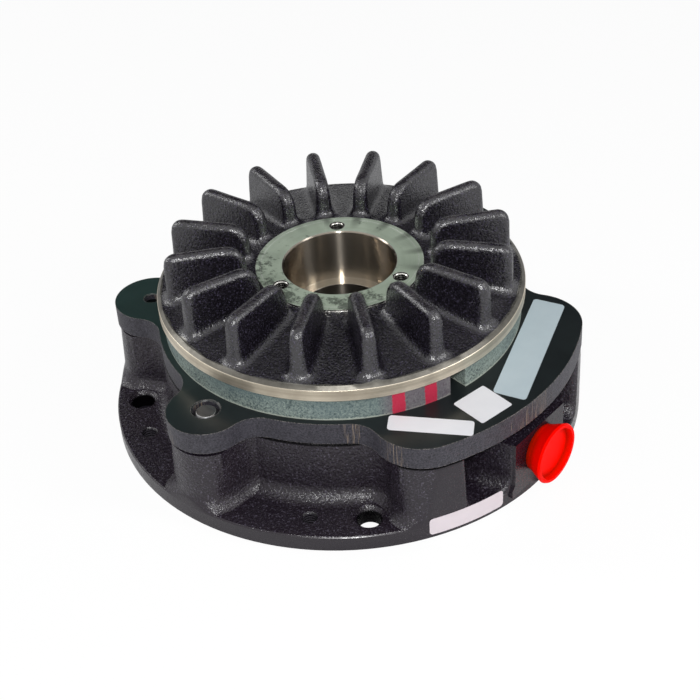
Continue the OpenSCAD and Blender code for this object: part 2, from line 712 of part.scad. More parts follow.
// The hub in the middle of the same casting. It has a node of its own, so that
// each form keeps its own shape in collision.
module disc_hub() {
    mouth = 0.4;
    edge = 0.6;
    color([0.66, 0.68, 0.64])
    difference() {
        rotate_extrude($fn = 180) polygon([
            [shaft_bore_r, hub_end_z], [hub_r - edge, hub_end_z], [hub_r, hub_end_z + edge],
            [hub_r, hub_face_z], [seat_r + mouth, hub_face_z], [seat_r, hub_face_z - mouth],
            [seat_floor_r, seat_floor_z], [shaft_bore_r, seat_floor_z]]);
        around(hub_tap_r, [for (i = [0 : 2]) hub_tap_phase + 120 * i])
            sunk_hole(hub_tap_d, hub_tap_d + 1, hub_face_z - hub_tap_depth, hub_face_z);
    }
}

// A push-in plug, flared like a cup, with a stem in the port
module port_plug() {
    stem_r = port_d / 2 - plug_fit;
    rim_r = plug_rim_d / 2;
    neck_r = plug_neck_d / 2;
    seat = 0.05;
    color([0.95, 0.08, 0.02])
    translate([inlet_face_x, 0, port_z]) rotate([0, 90, 0]) rotate_extrude() polygon([
        [0, -stem_len / 2], [stem_r - plug_wall, -stem_len / 2], [stem_r - plug_wall, -stem_len],
        [stem_r, -stem_len], [stem_r, seat], [neck_r, seat], [neck_r + 0.4, plug_out / 4],
        [rim_r - 0.3, plug_out - plug_wall], [rim_r, plug_out - plug_wall / 2],
        [rim_r - 0.3, plug_out], [rim_r - plug_wall, plug_out],
        [rim_r - plug_wall - 0.4, plug_out - plug_hollow], [0, plug_out - plug_hollow]]);
}

housing_casting();
carrier_plate();
friction_disc();
disc_hub();
piston();
piston_outer_seal();
piston_inner_seal();
facing_segment(1);  // facing_segment_1
facing_segment(2);  // facing_segment_2
facing_segment(3);  // facing_segment_3
facing_screws(1);  // facing_screws_1
facing_screws(2);  // facing_screws_2
facing_screws(3);  // facing_screws_3
guide_pin(1);  // guide_pin_1
guide_pin(2);  // guide_pin_2
guide_pin(3);  // guide_pin_3
return_screw(1);  // return_screw_1
return_screw(2);  // return_screw_2
return_screw(3);  // return_screw_3
return_washer(1);  // return_washer_1
return_washer(2);  // return_washer_2
return_washer(3);  // return_washer_3
return_spring(1);  // return_spring_1
return_spring(2);  // return_spring_2
return_spring(3);  // return_spring_3
port_plug();
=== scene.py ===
# %% [markdown]
# # An air-operated disc tension brake
#
# The brake lies on its mounting flange. A finned disc turns above a lobed carrier
# plate, which carries grey friction segments and rides on a cast housing. The packed
# CAD model is the frame: this script dresses it, and never moves a CAD piece.
# Sizes are in millimetres in the code and in metres in Blender.

# %% Load the frame
import math
import bmesh
import bpy
import numpy as np
from mathutils import Matrix, Vector


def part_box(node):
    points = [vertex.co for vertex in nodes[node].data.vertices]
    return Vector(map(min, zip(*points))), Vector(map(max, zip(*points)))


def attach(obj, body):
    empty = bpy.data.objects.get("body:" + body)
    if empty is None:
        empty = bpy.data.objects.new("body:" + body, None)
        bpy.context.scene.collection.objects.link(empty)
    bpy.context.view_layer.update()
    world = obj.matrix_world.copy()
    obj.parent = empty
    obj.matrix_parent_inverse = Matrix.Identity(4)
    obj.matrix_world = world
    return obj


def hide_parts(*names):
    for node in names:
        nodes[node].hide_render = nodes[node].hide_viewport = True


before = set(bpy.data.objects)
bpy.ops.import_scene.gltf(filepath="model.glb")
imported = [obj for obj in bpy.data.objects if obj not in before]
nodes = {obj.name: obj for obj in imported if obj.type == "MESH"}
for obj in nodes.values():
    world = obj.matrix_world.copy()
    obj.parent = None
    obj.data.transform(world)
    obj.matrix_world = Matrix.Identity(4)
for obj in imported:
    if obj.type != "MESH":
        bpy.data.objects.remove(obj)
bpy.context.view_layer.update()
scene = bpy.context.scene
MM = 0.001

# %% [markdown]
# ## Small helpers
#
# Colours are written as the hex values that a paint chart would show. Blender mixes
# light in linear values, so one function turns the one into the other. A second adds a
# node to any tree. What an input is fed may be a value, an output or simply another
# node, and then that node's first output in use is linked. Inputs come in order, as for
# a ramp: its value, where it starts and ends, and what it gives there. A dictionary
# names them where a node has many. A third function turns a real size in millimetres
# into the scale that a noise texture needs for lumps of that size. The last lays coats
# of colour over each other, each through a mask of its own.

# %% Colour, node and scale helpers
MATH, RAMP, MIX, NOISE = "ShaderNodeMath", "ShaderNodeMapRange", "ShaderNodeMix", "ShaderNodeTexNoise"
COORDS, PARTS, VECTOR = "ShaderNodeTexCoord", "ShaderNodeSeparateXYZ", "ShaderNodeVectorMath"


def paint(code):
    """A hex colour such as "2a2429" as linear red, green, blue and alpha."""
    parts = [int(code[i:i + 2], 16) / 255 for i in (0, 2, 4)]
    return tuple(c / 12.92 if c <= 0.04045 else ((c + 0.055) / 1.055) ** 2.4 for c in parts) + (1.0,)


def feed(tree, node, links):
    """Gives inputs, by name or number, a value, an output, or a node's first output in use."""
    for name, value in links.items():
        if isinstance(value, bpy.types.Node):
            value = next(o for o in value.outputs if o.enabled)
        if isinstance(value, bpy.types.NodeSocket):
            tree.links.new(value, node.inputs[name])
        else:
            node.inputs[name].default_value = value


def add(tree, kind, *inputs, **settings):
    """One node with its settings, and its inputs in order or as one dictionary."""
    node = tree.nodes.new(kind)
    for name, value in settings.items():
        setattr(node, name, value)
    by_name = inputs and isinstance(inputs[0], dict)
    feed(tree, node, inputs[0] if by_name else dict(enumerate(inputs)))
    return node


def lumps(size_mm):
    """The noise scale at which the lumps are about size_mm across."""
    return 0.5 / (size_mm * MM)


def coated(tree, tone, *coats):
    """A tone under coats, each of them a mask and the colour that shows where the mask is 1."""
    for mask, coat in coats:
        under, over = (paint(c) if isinstance(c, str) else c for c in (tone, coat))
        tone = add(tree, MIX, {0: mask, 6: under, 7: over}, data_type="RGBA")
    return tone


print("black enamel in linear values:", [round(v, 4) for v in paint("2a2429")[:3]])

# %% [markdown]
# ## The camera
#
# The photograph was taken from the air inlet's left, about 38 degrees above the
# ground, with a lens of some 79 mm on a 36 mm sensor. Its place was worked out from
# the circles of the flange, the disc and the hub. The camera is tilted by four degrees.

# %% Set the camera
CAMERA_MM = Vector((265.22, -294.56, 309.49))
TARGET_MM = Vector((1.036, 0.933, 16.948))
LENS_MM, SENSOR_MM = 78.73, 36.0
TILT = math.radians(-3.8413)

camera = bpy.data.objects.new("camera", bpy.data.cameras.new("camera"))
scene.collection.objects.link(camera)
scene.camera = camera
camera.data.sensor_width = SENSOR_MM
camera.data.lens = LENS_MM
camera.data.clip_start = 10 * MM
forward = (TARGET_MM - CAMERA_MM).normalized()
right = forward.cross(Vector((0, 0, 1))).normalized()
up = right.cross(forward)
across = math.cos(TILT) * right + math.sin(TILT) * up
upward = -math.sin(TILT) * right + math.cos(TILT) * up
turned = Matrix((across, upward, -forward)).transposed()
camera.matrix_world = Matrix.Translation(CAMERA_MM * MM) @ turned.to_4x4()
print("camera is", round((CAMERA_MM - TARGET_MM).length), "mm away")

# %% [markdown]
# ## Floor and light
#
# A small part is photographed in a light tent: white cloth all round gives soft
# light, and lamps behind the cloth give the long highlights on metal. The camera and
# the mirroring surfaces see the tent at full white, while it lights the brake with a
# third of that.

# %% White tent all round
scene.view_settings.view_transform = "Standard"

world = bpy.data.worlds.new("light_tent")
scene.world = world
world.use_nodes = True
tree = world.node_tree
tree.nodes.clear()
rays = add(tree, "ShaderNodeLightPath").outputs
mirrored = add(tree, MATH, rays["Is Glossy Ray"], rays["Is Transmission Ray"], operation="ADD")
seen = add(tree, MATH, rays["Is Camera Ray"], mirrored, operation="ADD", use_clamp=True)
tent = add(tree, "ShaderNodeBackground", {"Color": paint("f4f6fa"), "Strength": 0.3})
backdrop = add(tree, "ShaderNodeBackground", {"Color": (1, 1, 1, 1), "Strength": 1.0})
mixed = add(tree, "ShaderNodeMixShader", seen, tent, backdrop)
add(tree, "ShaderNodeOutputWorld", {"Surface": mixed})
print("world:", world.name)


# %% Two helpers: an empty material, and a flat sheet
def empty_material(name):
    """A material with no nodes yet, and its tree."""
    material = bpy.data.materials.new(name)
    material.use_nodes = True
    material.node_tree.nodes.clear()
    print("material:", name)
    return material, material.node_tree


def sheet(name, corners_mm, finish):
    """A flat sheet of card or cloth that belongs to the studio."""
    mesh = bpy.data.meshes.new(name)
    mesh.from_pydata([tuple(v * MM for v in c) for c in corners_mm], [], [(0, 1, 2, 3)])
    mesh.materials.append(finish)
    piece = bpy.data.objects.new(name, mesh)
    scene.collection.objects.link(piece)
    print("sheet:", name, [round(v / MM) for v in piece.dimensions], "mm")


# %% [markdown]
# ### White card and dark cloth
#
# The brake stands on white card. The card glows for the camera, so that it comes out
# white and still keeps the brake's shadow. The hole at the brake's left looks down on
# card that lies in shadow, and there the card is painted dark and doesn't glow: a
# painted shadow. A dark cloth hangs behind the brake, above the picture, and the camera
# doesn't see it. Faces that look up mirror it: black enamel needs something dark to
# mirror, or it looks grey.

# %% White card under the brake
CARD_REACH, CARD_Z, CARD_GLOW = 3000, -0.05, 0.93
# Painted shadow: within this spot the card is coloured dark and doesn't glow
PAINTED_SHADOW_SPOT, PAINTED_SHADOW_R = (-49 * MM, -44 * MM, 0), 8 * MM

matt_card, tree = empty_material("white card, matt")
place = add(tree, COORDS).outputs["Object"]
off = add(tree, VECTOR, place, PAINTED_SHADOW_SPOT, operation="DISTANCE").outputs["Value"]
outside_painted_shadow = add(tree, MATH, off, PAINTED_SHADOW_R, operation="GREATER_THAN")
rays = add(tree, "ShaderNodeLightPath").outputs
share = add(tree, MATH, rays["Is Camera Ray"], CARD_GLOW, operation="MULTIPLY")
share = add(tree, MATH, share, outside_painted_shadow, operation="MULTIPLY")
matt = add(tree, "ShaderNodeBsdfDiffuse", {"Color": coated(tree, "201e24", (outside_painted_shadow, "fafafa"))})
glow = add(tree, "ShaderNodeEmission", {"Color": (1, 1, 1, 1), "Strength": 1.0})
mixed = add(tree, "ShaderNodeMixShader", share, matt, glow)
add(tree, "ShaderNodeOutputMaterial", {"Surface": mixed})
sheet("white_card", [(x * CARD_REACH, y * CARD_REACH, CARD_Z)
                     for x, y in ((-1, -1), (1, -1), (1, 1), (-1, 1))], matt_card)

# %% Dark cloth behind the brake, above the picture
# How far behind the brake, how far to the side and how high each corner hangs, in mm
CLOTH_CORNERS = (540, -560, 170), (540, 600, 170), (380, 520, 900), (380, -460, 900)

dark_cloth, tree = empty_material("dark cloth")
woven = add(tree, "ShaderNodeBsdfDiffuse", {"Color": paint("2c2e30")})
hidden = add(tree, "ShaderNodeBsdfTransparent")
rays = add(tree, "ShaderNodeLightPath").outputs
mixed = add(tree, "ShaderNodeMixShader", rays["Is Camera Ray"], woven, hidden)
add(tree, "ShaderNodeOutputMaterial", {"Surface": mixed})
away = Vector((-CAMERA_MM.x, -CAMERA_MM.y, 0)).normalized()
beside = Vector((-away.y, away.x, 0))
sheet("dark_cloth", [away * reach + beside * side + Vector((0, 0, z)) for reach, side, z in CLOTH_CORNERS],
      dark_cloth)

# %% Lamps behind the cloth
AIM_MM = Vector((0, 0, 30))
LAMPS = {  # place, width and height in mm, and watts
    "key_lamp": ((330, -400, 450), 60, 60, 2.7),
    "left_lamp": ((-560, -260, 420), 160, 300, 1.5),
    "right_lamp": ((520, 180, 360), 160, 320, 1.5)}
for name, (place_mm, width_mm, height_mm, power) in LAMPS.items():
    data = bpy.data.lights.new(name, "AREA")
    data.shape = "RECTANGLE"
    data.size, data.size_y = width_mm * MM, height_mm * MM
    data.energy = power
    box = bpy.data.objects.new(name, data)
    scene.collection.objects.link(box)
    box.location = Vector(place_mm) * MM
    box.rotation_euler = (AIM_MM * MM - box.location).to_track_quat("-Z", "Y").to_euler()
print("lamps:", list(LAMPS))

# %% [markdown]
# ## The finned disc: its rule
#
# The disc is an iron casting. Sixteen fins stand on a floor that slopes up to the
# hub. A foundry pattern has draft on its sides, rounded outer edges, and a hollow
# fillet wherever a fin meets the floor. All of that is one rule in space: a few flat
# limits, joined by rounded corners where the metal ends and by hollow ones where two
# bodies meet. Points on the surface are then found by walking outwards along rays
# from inside a fin until the rule says "air". That gives even, clean rings of faces.

# %% Sizes of the disc, from the CAD model
low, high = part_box("friction_disc")
DISC_R, TOP_Z, FACE_Z = (high[0] - low[0]) / MM / 2, high[2] / MM, low[2] / MM
BAND_TOP, CHAMFER = FACE_Z + 3.8, 1.15
RIM_Z, RIM_R = BAND_TOP + CHAMFER, DISC_R - CHAMFER
HUB_STEP_R, HUB_FLOOR_Z = 26.1, RIM_Z + 4.4
HUB_TOP_Z = HUB_FLOOR_Z + 0.6
FIN_COUNT, FIN_PHASE = 16, 4.25
# Where a fin ends, and how far its two ends lean over its height
FIN_OUT, FIN_IN, OUT_LEAN, IN_LEAN = DISC_R - 3.2, HUB_STEP_R + 1.8, 0.25, 1.3
# Thickness at its top, and how much thicker it is at its foot
FIN_TOP_T, FIN_DRAFT = 4.4, 1.6
OUTER_CORNER, INNER_CORNER, EDGE_R, FOOT_R = 4.0, 5.8, 2.1, 2.6
# The cosine of the floor's slope
FLOOR_COS = 0.99
print("disc radius", round(DISC_R, 2), "fin top", round(TOP_Z, 2), "floor", round(RIM_Z, 2),
      "to", round(HUB_FLOOR_Z, 2))


# %% The rule: solid below zero, air above
def rounded_edge(a, b, r):
    """Two limits of one body that meet in an edge of radius r."""
    return np.minimum(-r, np.maximum(a, b)) + np.hypot(np.maximum(r + a, 0), np.maximum(r + b, 0))


def hollow_corner(a, b, r):
    """Two bodies that meet in a hollow fillet of radius r."""
    return np.maximum(r, np.minimum(a, b)) - np.hypot(np.maximum(r - a, 0), np.maximum(r - b, 0))


def floor_z(r):
    """Height of the sloping floor at radius r."""
    return RIM_Z + (HUB_FLOOR_Z - RIM_Z) * (RIM_R - r) / (RIM_R - HUB_STEP_R)


def disc_rule(p):
    """Roughly the distance in mm from points p, shape (n, 3), to the cast surface of one fin's sector."""
    x, y, z = p[:, 0], p[:, 1], p[:, 2]
    down = (TOP_Z - z) / (TOP_Z - RIM_Z)
    side = np.abs(y) - FIN_TOP_T / 2 - FIN_DRAFT / 2 * down
    outer = x - FIN_OUT - OUT_LEAN * (down - 1)
    inner = FIN_IN + IN_LEAN * (1 - down) - x
    fin = rounded_edge(rounded_edge(z - TOP_Z, outer, OUTER_CORNER), inner, INNER_CORNER)
    fin = rounded_edge(fin, side, EDGE_R)
    return hollow_corner(fin, (z - floor_z(np.hypot(x, y))) * FLOOR_COS, FOOT_R)


# %% Walk along rays to the surface
def walk_out(rule, start, way, reach, stride=0.25):
    """For each ray from inside the metal, the first point where it comes out."""
    near, far = np.zeros(len(start)), np.full(len(start), float(reach))
    out = np.zeros(len(start), bool)
    for t in np.arange(stride, reach, stride):
        air = rule(start + way * t) > 0
        far = np.where(air & ~out, t, far)
        out |= air
        near = np.where(out, near, t)
    for _ in range(20):
        middle = (near + far) / 2
        inside = rule(start + way * middle[:, None]) < 0
        near, far = np.where(inside, middle, near), np.where(inside, far, middle)
    return start + way * far[:, None]


ABOVE_FLOOR = 24
probe = walk_out(disc_rule, np.array([[40.0, 0, RIM_Z]]), np.array([[0, 0, 1.0]]), ABOVE_FLOOR)
print("a fin's top is at", np.round(probe[0, 2], 2))

# %% [markdown]
# ## One sector of the disc
#
# One fin with its share of the floor is a sector of 22.5 degrees. Rings of points run
# round the fin, from its middle line over the top edge, down the wall, through the
# fillet and out to the sector's border. The border's points mirror each other, so
# that neighbouring sectors meet exactly.

# %% Spokes round one fin
HALF_SECTOR = math.pi / FIN_COUNT
LINE_START, LINE_END = FIN_IN + 3.4, FIN_OUT - 3.0
# Spokes in the fan round each end of the fin; the outer two on each side go to the side borders
FAN, TO_SIDES = 15, 2


def sector_spokes():
    """Start points on the fin's middle line, directions seen from above, and matching border points."""
    spokes = []
    along = LINE_START + (LINE_END - LINE_START) * (0.5 - 0.5 * np.cos(np.linspace(0, math.pi, 17)))
    half = FAN // 2

    def round_an_end(x, sign, corner_r, border_r, near_r):
        for i, t in enumerate(np.radians(np.linspace(-90, 90, FAN))):
            way = (sign * math.cos(t), sign * math.sin(t))
            side = math.copysign(HALF_SECTOR, t * sign)
            if i in (0, FAN - 1):
                border = (near_r, side)
            elif i in (1, FAN - 2):
                border = (corner_r, side)
            else:
                border = (border_r, sign * HALF_SECTOR * (i - half) / (half - TO_SIDES))
            spokes.append(((x, 0), way, border))

    for x in along[1:-1]:
        spokes.append(((x, 0), (0, -1), (x, -HALF_SECTOR)))
    round_an_end(LINE_END, 1, RIM_R - 0.9, RIM_R, LINE_END + 1.5)
    for x in along[1:-1][::-1]:
        spokes.append(((x, 0), (0, 1), (x, HALF_SECTOR)))
    round_an_end(LINE_START, -1, HUB_STEP_R + 0.8, HUB_STEP_R, LINE_START - 1.8)
    starts, ways, borders = (np.array([s[i] for s in spokes]) for i in range(3))
    radius, turn = borders.T
    return starts, ways, np.column_stack([radius * np.cos(turn), radius * np.sin(turn)])


starts, ways, borders = sector_spokes()
print("spokes:", len(starts))


# %% Rings of points across the spokes
def sector_points():
    """Rings of points: over the top edge, down the wall, through the fillet, out to the border."""
    count = len(starts)
    half_top = FIN_TOP_T / 2
    # Rays over the top edge start this high inside the fin, and go at most a fin's thickness or two
    centre_z, inside_fin = TOP_Z - 3.6, 8
    rings = []
    targets = [(0.0, TOP_Z)] + [(half_top - EDGE_R + EDGE_R * math.cos(t), TOP_Z - EDGE_R + EDGE_R * math.sin(t))
                                for t in np.radians(np.linspace(90, 8, 7))]
    for offset, z in targets:
        aim = np.column_stack([ways * offset, np.full(count, z - centre_z)])
        aim /= np.linalg.norm(aim, axis=1)[:, None]
        rings.append(walk_out(disc_rule, np.column_stack([starts, np.full(count, centre_z)]), aim, inside_fin))
    outwards = np.column_stack([ways, np.zeros(count)])
    foot_z = floor_z(np.linalg.norm(starts + ways * 4, axis=1)) + FOOT_R
    for share in np.linspace(0, 1, 7):
        z = (TOP_Z - 2.4) * (1 - share) + foot_z * share
        rings.append(walk_out(disc_rule, np.column_stack([starts, z]), outwards, inside_fin))
    wall = rings[-1][:, :2]
    length = np.linalg.norm(borders - wall, axis=1)
    fillet = np.minimum(FOOT_R, 0.8 * length) / length
    shares = [fillet * (1 - math.cos(math.radians(t))) for t in (22, 36, 50, 66, 90)]
    shares += [fillet + (1 - fillet) * k for k in (0.35, 0.7, 1.0)]
    upwards = np.tile([0, 0, 1.0], (count, 1))
    for share in shares:
        plan = wall + (borders - wall) * share[:, None]
        below = np.column_stack([plan, np.full(count, RIM_Z - 3)])
        rings.append(walk_out(disc_rule, below, upwards, ABOVE_FLOOR))
    # Where the turned rim and hub begin, the border lies exactly on the floor
    radius = np.hypot(rings[-1][:, 0], rings[-1][:, 1])
    at_turned = np.minimum(np.abs(radius - RIM_R), np.abs(radius - HUB_STEP_R)) < 0.01
    rings[-1][:, 2] = np.where(at_turned, floor_z(radius), rings[-1][:, 2])
    return np.array(rings)


rings = sector_points()
print("rings and spokes:", rings.shape[:2], "lowest", round(rings[..., 2].min(), 2))


# %% Join the rings into a mesh
def mesh_object(name, points_mm, faces, smooth_deg=40.0):
    """A mesh object from points in mm, shaded smooth except over edges sharper than smooth_deg."""
    mesh = bpy.data.meshes.new(name)
    mesh.from_pydata([tuple(float(v) * MM for v in p) for p in points_mm], [],
                     [tuple(int(i) for i in f) for f in faces])
    mesh.update()
    mesh.validate()
    mesh.shade_smooth()
    mesh.set_sharp_from_angle(angle=math.radians(smooth_deg))
    piece = bpy.data.objects.new(name, mesh)
    scene.collection.objects.link(piece)
    return piece


def ring_faces(ring_count, point_count, rings_closed=False):
    """Quads between rings of points. Each ring is closed; the last ring may join the first."""
    faces = []
    for j in range(ring_count if rings_closed else ring_count - 1):
        a, b = j * point_count, (j + 1) % ring_count * point_count
        for k in range(point_count):
            n = (k + 1) % point_count
            faces.append((a + k, b + k, b + n, a + n))
    return faces


sector = mesh_object("sector", rings.reshape(-1, 3), ring_faces(*rings.shape[:2]), 180)
print("one sector has", len(sector.data.polygons), "faces")

# %% [markdown]
# ## Sixteen sectors with Geometry Nodes
#
# What repeats is left to a node tree: it places the sector once for each fin, welds
# the borders, and then lets the sand mould's unevenness push the surface in by a few
# hundredths of a millimetre. The push fades out towards the turned rim and hub.

# %% The node tree that repeats a sector round the axis
SECTOR_INPUTS = {
    "Count": "Int", "First angle": "Float", "Unevenness": "Float", "Lump scale": "Float",
    "Inner radius": "Float", "Outer radius": "Float", "Fade": "Float", "Seed": "Float", "Material": "Material"}
WELD_M = 0.02 * MM


def sector_tree():
    """A geometry tree that repeats its input round the axis and lets a mould's unevenness into it."""
    tree = bpy.data.node_groups.new("repeat_round_axis", "GeometryNodeTree")
    tree.interface.new_socket("Geometry", in_out="OUTPUT", socket_type="NodeSocketGeometry")
    tree.interface.new_socket("Geometry", in_out="INPUT", socket_type="NodeSocketGeometry")
    for title, kind in SECTOR_INPUTS.items():
        tree.interface.new_socket(title, in_out="INPUT", socket_type="NodeSocket" + kind)
    given = add(tree, "NodeGroupInput").outputs
    line = add(tree, "GeometryNodeMeshLine", {"Count": given["Count"], "Offset": (0, 0, 0)})
    index = add(tree, "GeometryNodeInputIndex")
    step = add(tree, MATH, math.tau, given["Count"], operation="DIVIDE")
    angle = add(tree, MATH, index, step, given["First angle"], operation="MULTIPLY_ADD")
    spin = add(tree, "ShaderNodeCombineXYZ", {"Z": angle})
    placed = add(tree, "GeometryNodeInstanceOnPoints", {
        "Points": line, "Instance": given["Geometry"], "Rotation": spin})
    real = add(tree, "GeometryNodeRealizeInstances", {"Geometry": placed})
    welded = add(tree, "GeometryNodeMergeByDistance", {"Geometry": real, "Distance": WELD_M})
    place = add(tree, "GeometryNodeInputPosition")
    flat = add(tree, VECTOR, place, (1, 1, 0), operation="MULTIPLY")
    radius = add(tree, VECTOR, flat, operation="LENGTH")
    bumps = add(tree, NOISE, {"Vector": place, "W": given["Seed"], "Scale": given["Lump scale"], "Detail": 2.0},
                noise_dimensions="4D")
    depth = add(tree, MATH, bumps, given["Unevenness"], operation="MULTIPLY")
    for end, way in (("Inner radius", "ADD"), ("Outer radius", "SUBTRACT")):
        full = add(tree, MATH, given[end], given["Fade"], operation=way)
        fade = add(tree, RAMP, radius, given[end], full)
        depth = add(tree, MATH, depth, fade, operation="MULTIPLY")
    inwards = add(tree, MATH, depth, -1.0, operation="MULTIPLY")
    normal = add(tree, "GeometryNodeInputNormal")
    offset = add(tree, VECTOR, {0: normal, "Scale": inwards}, operation="SCALE")
    uneven = add(tree, "GeometryNodeSetPosition", {"Geometry": welded, "Offset": offset})
    final = add(tree, "GeometryNodeSetMaterial", {"Geometry": uneven, "Material": given["Material"]})
    add(tree, "NodeGroupOutput", {0: final})
    return tree


def baked(source, tree, name, values):
    """The result of a node tree on an object, as a plain mesh object of its own."""
    modifier = source.modifiers.new("nodes", "NODES")
    modifier.node_group = tree
    for item in tree.interface.items_tree:
        if item.in_out == "INPUT" and item.name in values:
            modifier[item.identifier] = values[item.name]
    graph = bpy.context.evaluated_depsgraph_get()
    mesh = bpy.data.meshes.new_from_object(source.evaluated_get(graph))
    source.modifiers.remove(modifier)
    bpy.data.objects.remove(source)
    mesh.name = name
    piece = bpy.data.objects.new(name, mesh)
    scene.collection.objects.link(piece)
    return piece


repeat_tree = sector_tree()
print("the tree has", len(repeat_tree.nodes), "nodes")

# %% [markdown]
# ## Finishes of the iron castings
#
# The castings are sand-cast grey iron under black enamel. Sand leaves a fine grain, the
# enamel lies over it with a slight orange peel, and pale specks are painted where the
# grains would glint: painted highlights. Where a lathe cut the iron, a mask on the distance
# from the axis takes the grain away. On bare turned metal the Bevel node rounds every
# sharp edge a little for the light, and where its normal differs from the real one there
# is an edge, which gets a brighter colour.

# %% An empty finish, and masks by place
def finish_named(name):
    """A material with only its shader: (material, tree, shader, object coordinates)."""
    material, tree = empty_material(name)
    shader = add(tree, "ShaderNodeBsdfPrincipled")
    add(tree, "ShaderNodeOutputMaterial", {"Surface": shader})
    return material, tree, shader, add(tree, COORDS).outputs["Object"]


def axis_place(tree, place):
    """Distance from the brake's axis, and height, as outputs."""
    flat = add(tree, VECTOR, place, (1, 1, 0), operation="MULTIPLY")
    radius = add(tree, VECTOR, flat, operation="LENGTH").outputs["Value"]
    return radius, add(tree, PARTS, place).outputs["Z"]


def azimuth(tree, place):
    """The angle round the brake's axis, counted from the air inlet."""
    parts = add(tree, PARTS, place).outputs
    return add(tree, MATH, parts["Y"], parts["X"], operation="ARCTAN2")


def angle_from(tree, turn, middle_deg):
    """How far an azimuth is from middle_deg, to either side."""
    off = add(tree, MATH, turn, math.radians(middle_deg), operation="SUBTRACT")
    return add(tree, MATH, off, operation="ABSOLUTE")


def wall_mask(tree, level_from, level_to):
    """1 on upright faces, 0 on level ones."""
    upright = add(tree, PARTS, add(tree, COORDS).outputs["Normal"]).outputs["Z"]
    level = add(tree, MATH, upright, operation="ABSOLUTE")
    return add(tree, RAMP, level, level_from, level_to)


def edge_mask(tree, radius_mm):
    """(mask of the outer edges, rounded normal)."""
    rounded = add(tree, "ShaderNodeBevel", {"Radius": radius_mm * MM}, samples=4)
    real = add(tree, "ShaderNodeNewGeometry").outputs["Normal"]
    same = add(tree, VECTOR, rounded, real, operation="DOT_PRODUCT")
    return add(tree, RAMP, same, 0.995, 0.93), rounded


# %% Masks for the holes and their threads
HOLE_CIRCLE_R = 66.675


def hole_at(degrees):
    """The place in mm, to a hundredth, of a hole on the flange's hole circle."""
    return [round(HOLE_CIRCLE_R * f(math.radians(degrees)), 2) for f in (math.cos, math.sin)]


MOUNT_HOLE, TAPPED_HOLE = hole_at(45), hole_at(60)


def hole_mask(tree, place, hole, outside_mm, inside_mm):
    """1 within a hole of the flange and within the three that mirror it."""
    folded = add(tree, VECTOR, place, operation="ABSOLUTE")
    folded = add(tree, VECTOR, folded, (1, 1, 0), operation="MULTIPLY")
    centre = (hole[0] * MM, hole[1] * MM, 0)
    off = add(tree, VECTOR, folded, centre, operation="DISTANCE").outputs["Value"]
    return add(tree, RAMP, off, outside_mm * MM, inside_mm * MM)


def thread_bands(tree, height, pitch_mm, low, high):
    """1 on the crests of a thread, 0 in its grooves."""
    turns = add(tree, MATH, height, math.tau / (pitch_mm * MM), operation="MULTIPLY")
    wave = add(tree, MATH, turns, operation="SINE")
    return add(tree, RAMP, wave, low, high)


print("mounting hole at", MOUNT_HOLE, "tapped hole at", TAPPED_HOLE)


# %% Black enamel on sand-cast iron
# Sprayed enamel over sand grain: deep black, a small hard highlight on every grain, partly painted as pale specks
def cast_enamel(name, base, cloud, glint, gloss, grain_depth, turned_mask):
    """Black enamel over sand grain. turned_mask(tree, place) is 1 where a lathe made it smooth."""
    material, tree, shader, place = finish_named(name)
    grainy = add(tree, MATH, 1.0, turned_mask(tree, place), operation="SUBTRACT")
    cloudy = add(tree, NOISE, {"Vector": place, "Scale": lumps(9), "Detail": 3.0})
    # Painted highlights: small pale specks where the tips of the sand grains would glint
    painted_glint_specks = add(tree, NOISE, {"Vector": place, "Scale": lumps(0.24), "Detail": 1.0})
    painted_glint_specks = add(tree, RAMP, painted_glint_specks, 0.58, 0.76)
    painted_glint_specks = add(tree, MATH, painted_glint_specks, grainy, operation="MULTIPLY")
    sand = add(tree, NOISE, {"Vector": place, "Scale": lumps(0.4), "Detail": 2.0, "Roughness": 0.6})
    rough = add(tree, RAMP, sand, 0.3, 0.7, 0.2, 0.36)
    peel = add(tree, NOISE, {"Vector": place, "Scale": lumps(4.0), "Detail": 1.0})
    depth = add(tree, MATH, grainy, grain_depth * MM, operation="MULTIPLY")
    coarse = add(tree, "ShaderNodeBump", {"Height": peel, "Distance": 0.3 * MM, "Strength": 0.5})
    grain = add(tree, "ShaderNodeBump", {"Height": sand, "Distance": depth, "Strength": 1.0, "Normal": coarse})
    feed(tree, shader, {"Roughness": rough, "Specular IOR Level": gloss, "Normal": grain})
    return material, tree, shader, place, coated(tree, base, (cloudy, cloud), (painted_glint_specks, glint))


# %% The housing's enamel: smooth on its turned rim, with painted shade in its holes
# Where the turned edge, the inlet's face and the gap below the plate begin, and where each is full
EDGE_SPAN, FACE_SPAN, GAP_SPAN = (74.55 * MM, 74.65 * MM), (74.6 * MM, 74.68 * MM), (25.2 * MM, 25.6 * MM)


def turned_rim(tree, place):
    """1 on the flange's edge and on the inlet's face, which were cut before painting."""
    rim = add(tree, RAMP, axis_place(tree, place)[0], *EDGE_SPAN)
    face = add(tree, RAMP, add(tree, PARTS, place).outputs["X"], *FACE_SPAN)
    return add(tree, MATH, rim, face, operation="MAXIMUM")


housing_enamel, tree, shader, place, tone = cast_enamel(
    "black enamel on sand-cast iron", "15101a", "1e161d", "544f5c", 0.5, 0.3, turned_rim)
height = axis_place(tree, place)[1]
# Bare threads in the four tapped holes, painted as pale crests and near-black grooves: painted highlight and shade
# of the thread's relief
bare = coated(tree, "0a080b", (thread_bands(tree, height, 0.9, -0.2, 0.9), "4a464e"))
tapped = hole_mask(tree, place, TAPPED_HOLE, 2.35, 2.25)
